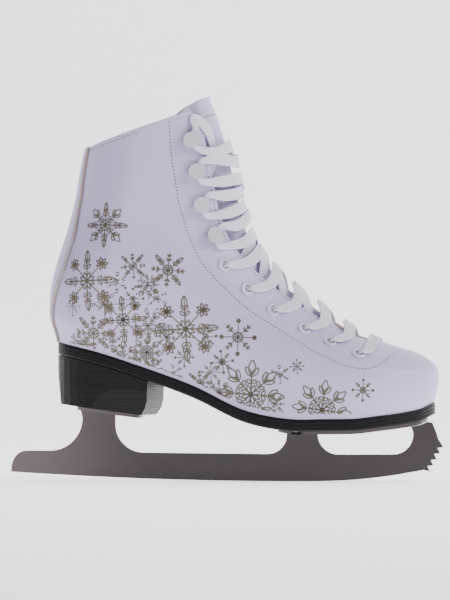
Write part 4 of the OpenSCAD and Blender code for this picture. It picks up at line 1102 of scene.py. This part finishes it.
def outsole_piece():
    count = 240
    c = np.linspace(-1, 1, count, endpoint=False)
    rings = []
    for depth, back_off in sole_profile():
        p = under(np.full(count, 0.004), c, np.full(count, back_off - WELT))
        rings.append(np.stack([p[:, 0], p[:, 1], sole_top(p[:, 0]) - depth], -1))
    n = len(rings)
    points = np.concatenate(rings)
    faces = [tuple(f)[::-1] for f in grid_faces(n, count, closed=True)]
    for level, flip in ((0, False), (n - 1, True)):
        for k in range(count // 2 - 1):
            a, b = level * count + k, level * count + k + 1
            d, e = level * count + (count - k) % count, level * count + (count - k - 1) % count
            face = (a, b, e) if k == 0 else (a, b, e, d)
            if d == a:
                face = (a, b, e)
            faces.append(face if flip else face[::-1])
        k = count // 2 - 1
        a, b, e = level * count + k, level * count + k + 1, level * count + k + 2
        faces.append((a, b, e) if flip else (e, b, a))
    made = make("outsole_black_sole", points, faces, [sole_black])
    made.data.polygons.foreach_set("use_smooth", [True] * len(made.data.polygons))
    settle(made, ("EDGE_SPLIT", {"split_angle": math.radians(50)}))
    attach(made, "skate")
    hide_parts("outsole")


outsole_piece()

# ---- The snow print -------------------------------------------------------------------


def petal(base, angle, length, wide):
    """Outline of a leaf from a base point."""
    q = np.concatenate([np.linspace(0, 1, 7), np.linspace(1, 0, 7)[1:]])
    side = np.where(np.arange(13) <= 6, 1, -1) * wide * np.sin(np.pi * q) ** 0.8
    along = np.array([math.cos(angle), math.sin(angle)])
    return base + length * q[:, None] * along + side[:, None] * np.array([-along[1], along[0]])


def rosette(centre, r, count=7):
    return [petal(centre, k * 2 * math.pi / count, r, 0.2 * r) for k in range(count)]


def arm(kind, angle, r):
    """Lines of one arm of a crystal of radius r."""
    ahead = np.array([math.cos(angle), math.sin(angle)])
    at = lambda k: k * r * ahead
    stem = lambda a, b: np.stack([at(a), at((a + b) / 2), at(b)])
    pair = lambda k, tilt, size, wide: [petal(at(k), angle + s * tilt, size * r, wide * r) for s in (-1, 1)]
    if kind == "spear":
        return [stem(0.05, 0.98), petal(at(0.62), angle, 0.38 * r, 0.085 * r), *pair(0.4, 0.8, 0.2, 0.045),
                *pair(0.58, 0.7, 0.17, 0.04)]
    if kind == "bloom":
        return [stem(0.05, 0.6), *rosette(at(0.78), 0.21 * r), *rosette(at(0.78), 0.11 * r, 5)]
    if kind == "lily":
        return [stem(0.05, 0.7), petal(at(0.55), angle, 0.45 * r, 0.1 * r), *pair(0.52, 0.62, 0.33, 0.065),
                *pair(0.33, 1.0, 0.17, 0.05)]
    if kind == "dots":
        return [stem(0.05, 0.72), *rosette(at(0.84), 0.13 * r, 6)]
    return [stem(0.05, 0.9), *pair(0.45, 0.75, 0.2, 0.03), *pair(0.68, 0.75, 0.15, 0.025)]


ARMS = {"star": ("spear", "bloom", 8), "leaf": ("spear", "lily", 8), "lily": ("lily", "lily", 8),
        "dots": ("dots", "tick", 8), "fern": ("tick", "spear", 8), "six": ("tick", "tick", 6)}


def crystal(kind, r, turn):
    """Lines of one crystal of radius r."""
    first, second, count = ARMS[kind]
    found = [line for k in range(count)
             for line in arm(first if k % 2 == 0 else second, turn + k * 2 * math.pi / count, r)]
    if r > 7:
        found += [petal(np.zeros(2), turn + (k + 0.5) * 2 * math.pi / count, 0.3 * r,
                        0.05 * r) for k in range(count)]
    return found


# Place along X and Z on the outer side, radius, kind and how strongly it is printed
CRYSTALS = [(-78.3, 171.2, 15, "leaf", 1), (-91.1, 134, 20, "star", 1), (-36.4, 141.5, 13, "fern", 1),
            (-59.6, 144, 10, "fern", 0.75), (-70, 133, 9, "six", 0.55), (-101.5, 117, 7, "dots", 0.6),
            (-87, 99.2, 14, "fern", 0.9), (-66.3, 108, 16, "star", 0.9), (-50.2, 104, 12, "leaf", 0.7),
            (-24.7, 101.8, 22, "star", 1), (-51, 86, 11, "lily", 0.85), (-26.1, 83, 7, "dots", 1),
            (-44, 122, 9, "six", 0.6), (-60, 122, 8, "dots", 0.6), (-38, 96, 9, "fern", 0.6),
            (-74, 93, 9, "six", 0.6), (10.1, 96.5, 13, "dots", 0.9), (-0.3, 80.4, 8.5, "dots", 1),
            (-14.7, 66, 10, "fern", 0.8), (-33, 72, 8, "six", 0.6), (18.2, 59, 23, "lily", 1),
            (65.7, 48.5, 20, "lily", 1), (38, 72, 8, "six", 0.5), (50, 77.1, 5.2, "dots", 1),
            (93.2, 61, 8, "dots", 1), (-96, 92, 11, "leaf", 0.7), (-68, 79, 12, "lily", 0.75),
            (-12, 97, 9, "dots", 0.6), (-3, 60, 9, "leaf", 0.7), (-50, 70, 9, "fern", 0.6), (-79, 118, 10,
                                                                                             "leaf", 0.6),
            (-50, 131, 9, "leaf", 0.6), (-9, 73, 7, "dots", 0.7), (34, 52, 8, "fern", 0.5)]


def find_spot(x, z, side=-1):
    """Row and column of the outer side's point that lies at X and Z."""
    v, c = np.meshgrid(np.linspace(0.01, 0.98, 200), -np.linspace(0.02, 0.97, 260), indexing="ij")
    p = skin(v, side * -c)
    k = np.argmin((p[..., 0] - x) ** 2 + (p[..., 2] - z) ** 2)
    return v.flat[k], side * -c.flat[k]


def lay_on_skin(v0, c0, flat):
    """Rows and columns of flat places in millimetres round a spot."""
    origin = one_skin(v0, c0)
    z = one_out(v0, c0)
    x = unit(np.cross(np.array([0, 0, 1.0]), z))
    y = np.cross(z, x)
    v, c = np.full(len(flat), v0), np.full(len(flat), c0)
    e = 0.003
    for _ in range(6):
        here = skin(v, c) - origin
        miss = np.stack([flat[:, 0] - here @ x, flat[:, 1] - here @ y], -1)
        dv = (skin(v + e, c) - skin(v - e, c)) / (2 * e)
        dc = (skin(v, c + e) - skin(v, c - e)) / (2 * e)
        a, b, d, g = dv @ x, dc @ x, dv @ y, dc @ y
        det = a * g - b * d
        v = np.clip(v + (miss[:, 0] * g - miss[:, 1] * b) / det, 0.0, 1.0)
        c = np.clip(c + (miss[:, 1] * a - miss[:, 0] * d) / det, -0.99, 0.99)
    return v, c


def snow_piece(side, name):
    rng = random.Random(11)
    points, faces = [], []
    line = np.array(FACING_LINE)
    line = line[np.argsort(line[:, 0])]
    for x, z, r, kind, strength in CRYSTALS:
        flat, quads = [], []
        for path in crystal(kind, r, rng.uniform(-0.15, 0.15) + math.pi / 2):
            if rng.random() > strength + 0.1:
                continue
            fine = smooth_path(path, max(0.5, 0.03 * r))
            if len(fine) < 3:
                continue
            ahead = unit(np.gradient(fine, axis=0))
            half = (0.2 + 0.013 * r) * (0.6 + 0.4 * strength) * np.linspace(1.1, 0.8, len(fine))[:, None]
            off = np.stack([-ahead[:, 1], ahead[:, 0]], -1) * half
            base = len(flat)
            flat += [*(fine + off), *(fine - off)]
            n = len(fine)
            quads += [(base + i, base + i + 1, base + n + i + 1, base + n + i) for i in range(n - 1)]
        v, c = lay_on_skin(*find_spot(x, z, side), np.array(flat))
        seam = np.interp(v, line[:, 0], line[:, 1], left=2)
        free = (v > 0.012) & (v < 0.97) & (np.abs(c) > column(straight(BACKSTAY_EDGE, v)) + 0.012)
        free &= share(c) < seam - 0.012
        base = len(points)
        points += list(under(v, c, np.full(len(v), -0.09 - 0.0005 * len(points) / 1000)))
        for quad in quads:
            if all(free[k] for k in quad):
                faces.append(tuple(base + k for k in (quad if side < 0 else quad[::-1])))
    used = sorted({k for f in faces for k in f})
    new = {k: i for i, k in enumerate(used)}
    made = make(name, [points[k] for k in used], [tuple(new[k] for k in f) for f in faces], [snow_print])
    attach(made, "skate")


snow_piece(-1, "snow_print_outer")
snow_piece(1, "snow_print_inner")

# ---- Finishes of the pieces that keep their shape -----------------------------------------

CARRIED = {"shank": small_steel, "insole_board": fibre_board, "footbed": footbed_cloth,
           "facing_outer": facing_leather,
           "facing_inner": facing_leather, "collar_padding": pad_foam, "heel_counter": fibre_board,
           "toe_puff": fibre_board, "heel_block": heel_black, "heel_top_lift": heel_black,
           "eyelets_outer": eyelet_enamel,
           "eyelets_inner": eyelet_enamel, "eyelet_washers": small_steel, "hooks_outer": hook_enamel,
           "hooks_inner": hook_enamel, "hook_rivets": small_steel, "hook_washers": small_steel,
           "aglets": tip_plastic,
           "runner": blade_steel, "sole_plate": plate_steel, "heel_plate": plate_steel,
           "sole_screws": small_steel,
           "heel_screws": small_steel}
BEVELS = {"heel_block": 0.6, "heel_top_lift": 0.5, "runner": 0.25, "sole_plate": 0.3, "heel_plate": 0.3,
          "hooks_outer": 0.3, "hooks_inner": 0.3}
for node_name, finish in CARRIED.items():
    piece = nodes[node_name]
    piece.data.materials.clear()
    piece.data.materials.append(finish)
    if node_name in BEVELS:
        bevel = piece.modifiers.new("edges", "BEVEL")
        bevel.width = BEVELS[node_name] * MM
        bevel.segments = 2
        bevel.limit_method = "ANGLE"
        bevel.angle_limit = math.radians(35)
        bevel.harden_normals = True
# Heights over the skin that bound a hook's neck, which is painted near-black as painted shade, and the top
# and radius of an eyelet's hollow, also painted near-black as painted shade
NECK_LOW = 1.3
NECK_HIGH = 5
HOLLOW_TOP = 0.5
HOLLOW_R = 2.75
# The hook necks take the near-black finish as painted shade
for node_name, side in (("hooks_outer", -1), ("hooks_inner", 1)):
    hooks = nodes[node_name]
    hooks.data.materials.append(painted_shade_enamel)
    spots = [frame_at(row[0], hole_column(row, side)) for row in HOOKS]
    for face in hooks.data.polygons:
        at = np.array(face.center) / MM
        f = min(spots, key=lambda spot: np.linalg.norm(at - spot[0]))
        high = (at - f[0]) @ f[3]
        if NECK_LOW < high < NECK_HIGH:
            face.material_index = 1
# The hollows inside the eyelets take the near-black finish as painted shade
for node_name, side in (("eyelets_outer", -1), ("eyelets_inner", 1)):
    eyelets = nodes[node_name]
    eyelets.data.materials.append(painted_shade_enamel)
    spots = [frame_at(row[0], hole_column(row, side)) for row in EYELETS]
    for face in eyelets.data.polygons:
        at = np.array(face.center) / MM
        f = min(spots, key=lambda spot: np.linalg.norm(at - spot[0]))
        away = at - f[0]
        high = away @ f[3]
        if high < HOLLOW_TOP and np.linalg.norm(away - high * f[3]) < HOLLOW_R:
            face.material_index = 1

# ---- Floor, backdrop and light -------------------------------------------------------------


def stage_floor():
    half, depth, height, bend = 3.0, 1.6, 3.0, 0.8
    side_on = [(-2.2, 0.0), (depth - bend, 0.0)]
    side_on += [(depth - bend + bend * math.sin(a), bend - bend * math.cos(a)) for a in np.linspace(0,
        math.pi / 2, 13)[1:]]
    side_on.append((depth, height))
    points = [(1000 * x, 1000 * y, 1000 * z - 0.05) for y, z in side_on for x in (-half, half)]
    faces = [(2 * i, 2 * i + 1, 2 * i + 3, 2 * i + 2) for i in range(len(side_on) - 1)]
    f = Finish("studio_floor", (0.93, 0.93, 0.94), 0.9, Emission_Color=(1, 1, 1, 1), Emission_Strength=1.5)
    made = make("studio_floor", points, faces, [f.material])
    made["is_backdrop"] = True


def area_light(name, place, target, size, power, colour=(1, 1, 1)):
    data = bpy.data.lights.new(name, "AREA")
    data.shape = "RECTANGLE"
    data.size, data.size_y = size
    data.energy = power
    data.color = colour
    lamp = bpy.data.objects.new(name, data)
    bpy.context.scene.collection.objects.link(lamp)
    lamp.location = place
    lamp.rotation_euler = (Vector(target) - Vector(place)).to_track_quat("-Z", "Y").to_euler()


stage_floor()
area_light("key_softbox", (1.5, -0.5, 1.15), (0.06, 0, 0.1), (0.7, 0.7), 26)
area_light("heel_softbox", (-1.2, -1.2, 0.8), (0, 0, 0.12), (0.9, 0.9), 1.2)
area_light("top_softbox", (0.1, 0.1, 1.6), (0, 0, 0.1), (1.0, 1.0), 7)
world = bpy.data.worlds.new("studio")
bpy.context.scene.world = world
world.use_nodes = True
world.node_tree.nodes["Background"].inputs["Color"].default_value = (0.96, 0.97, 1, 1)
world.node_tree.nodes["Background"].inputs["Strength"].default_value = 0.12

low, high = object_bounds()
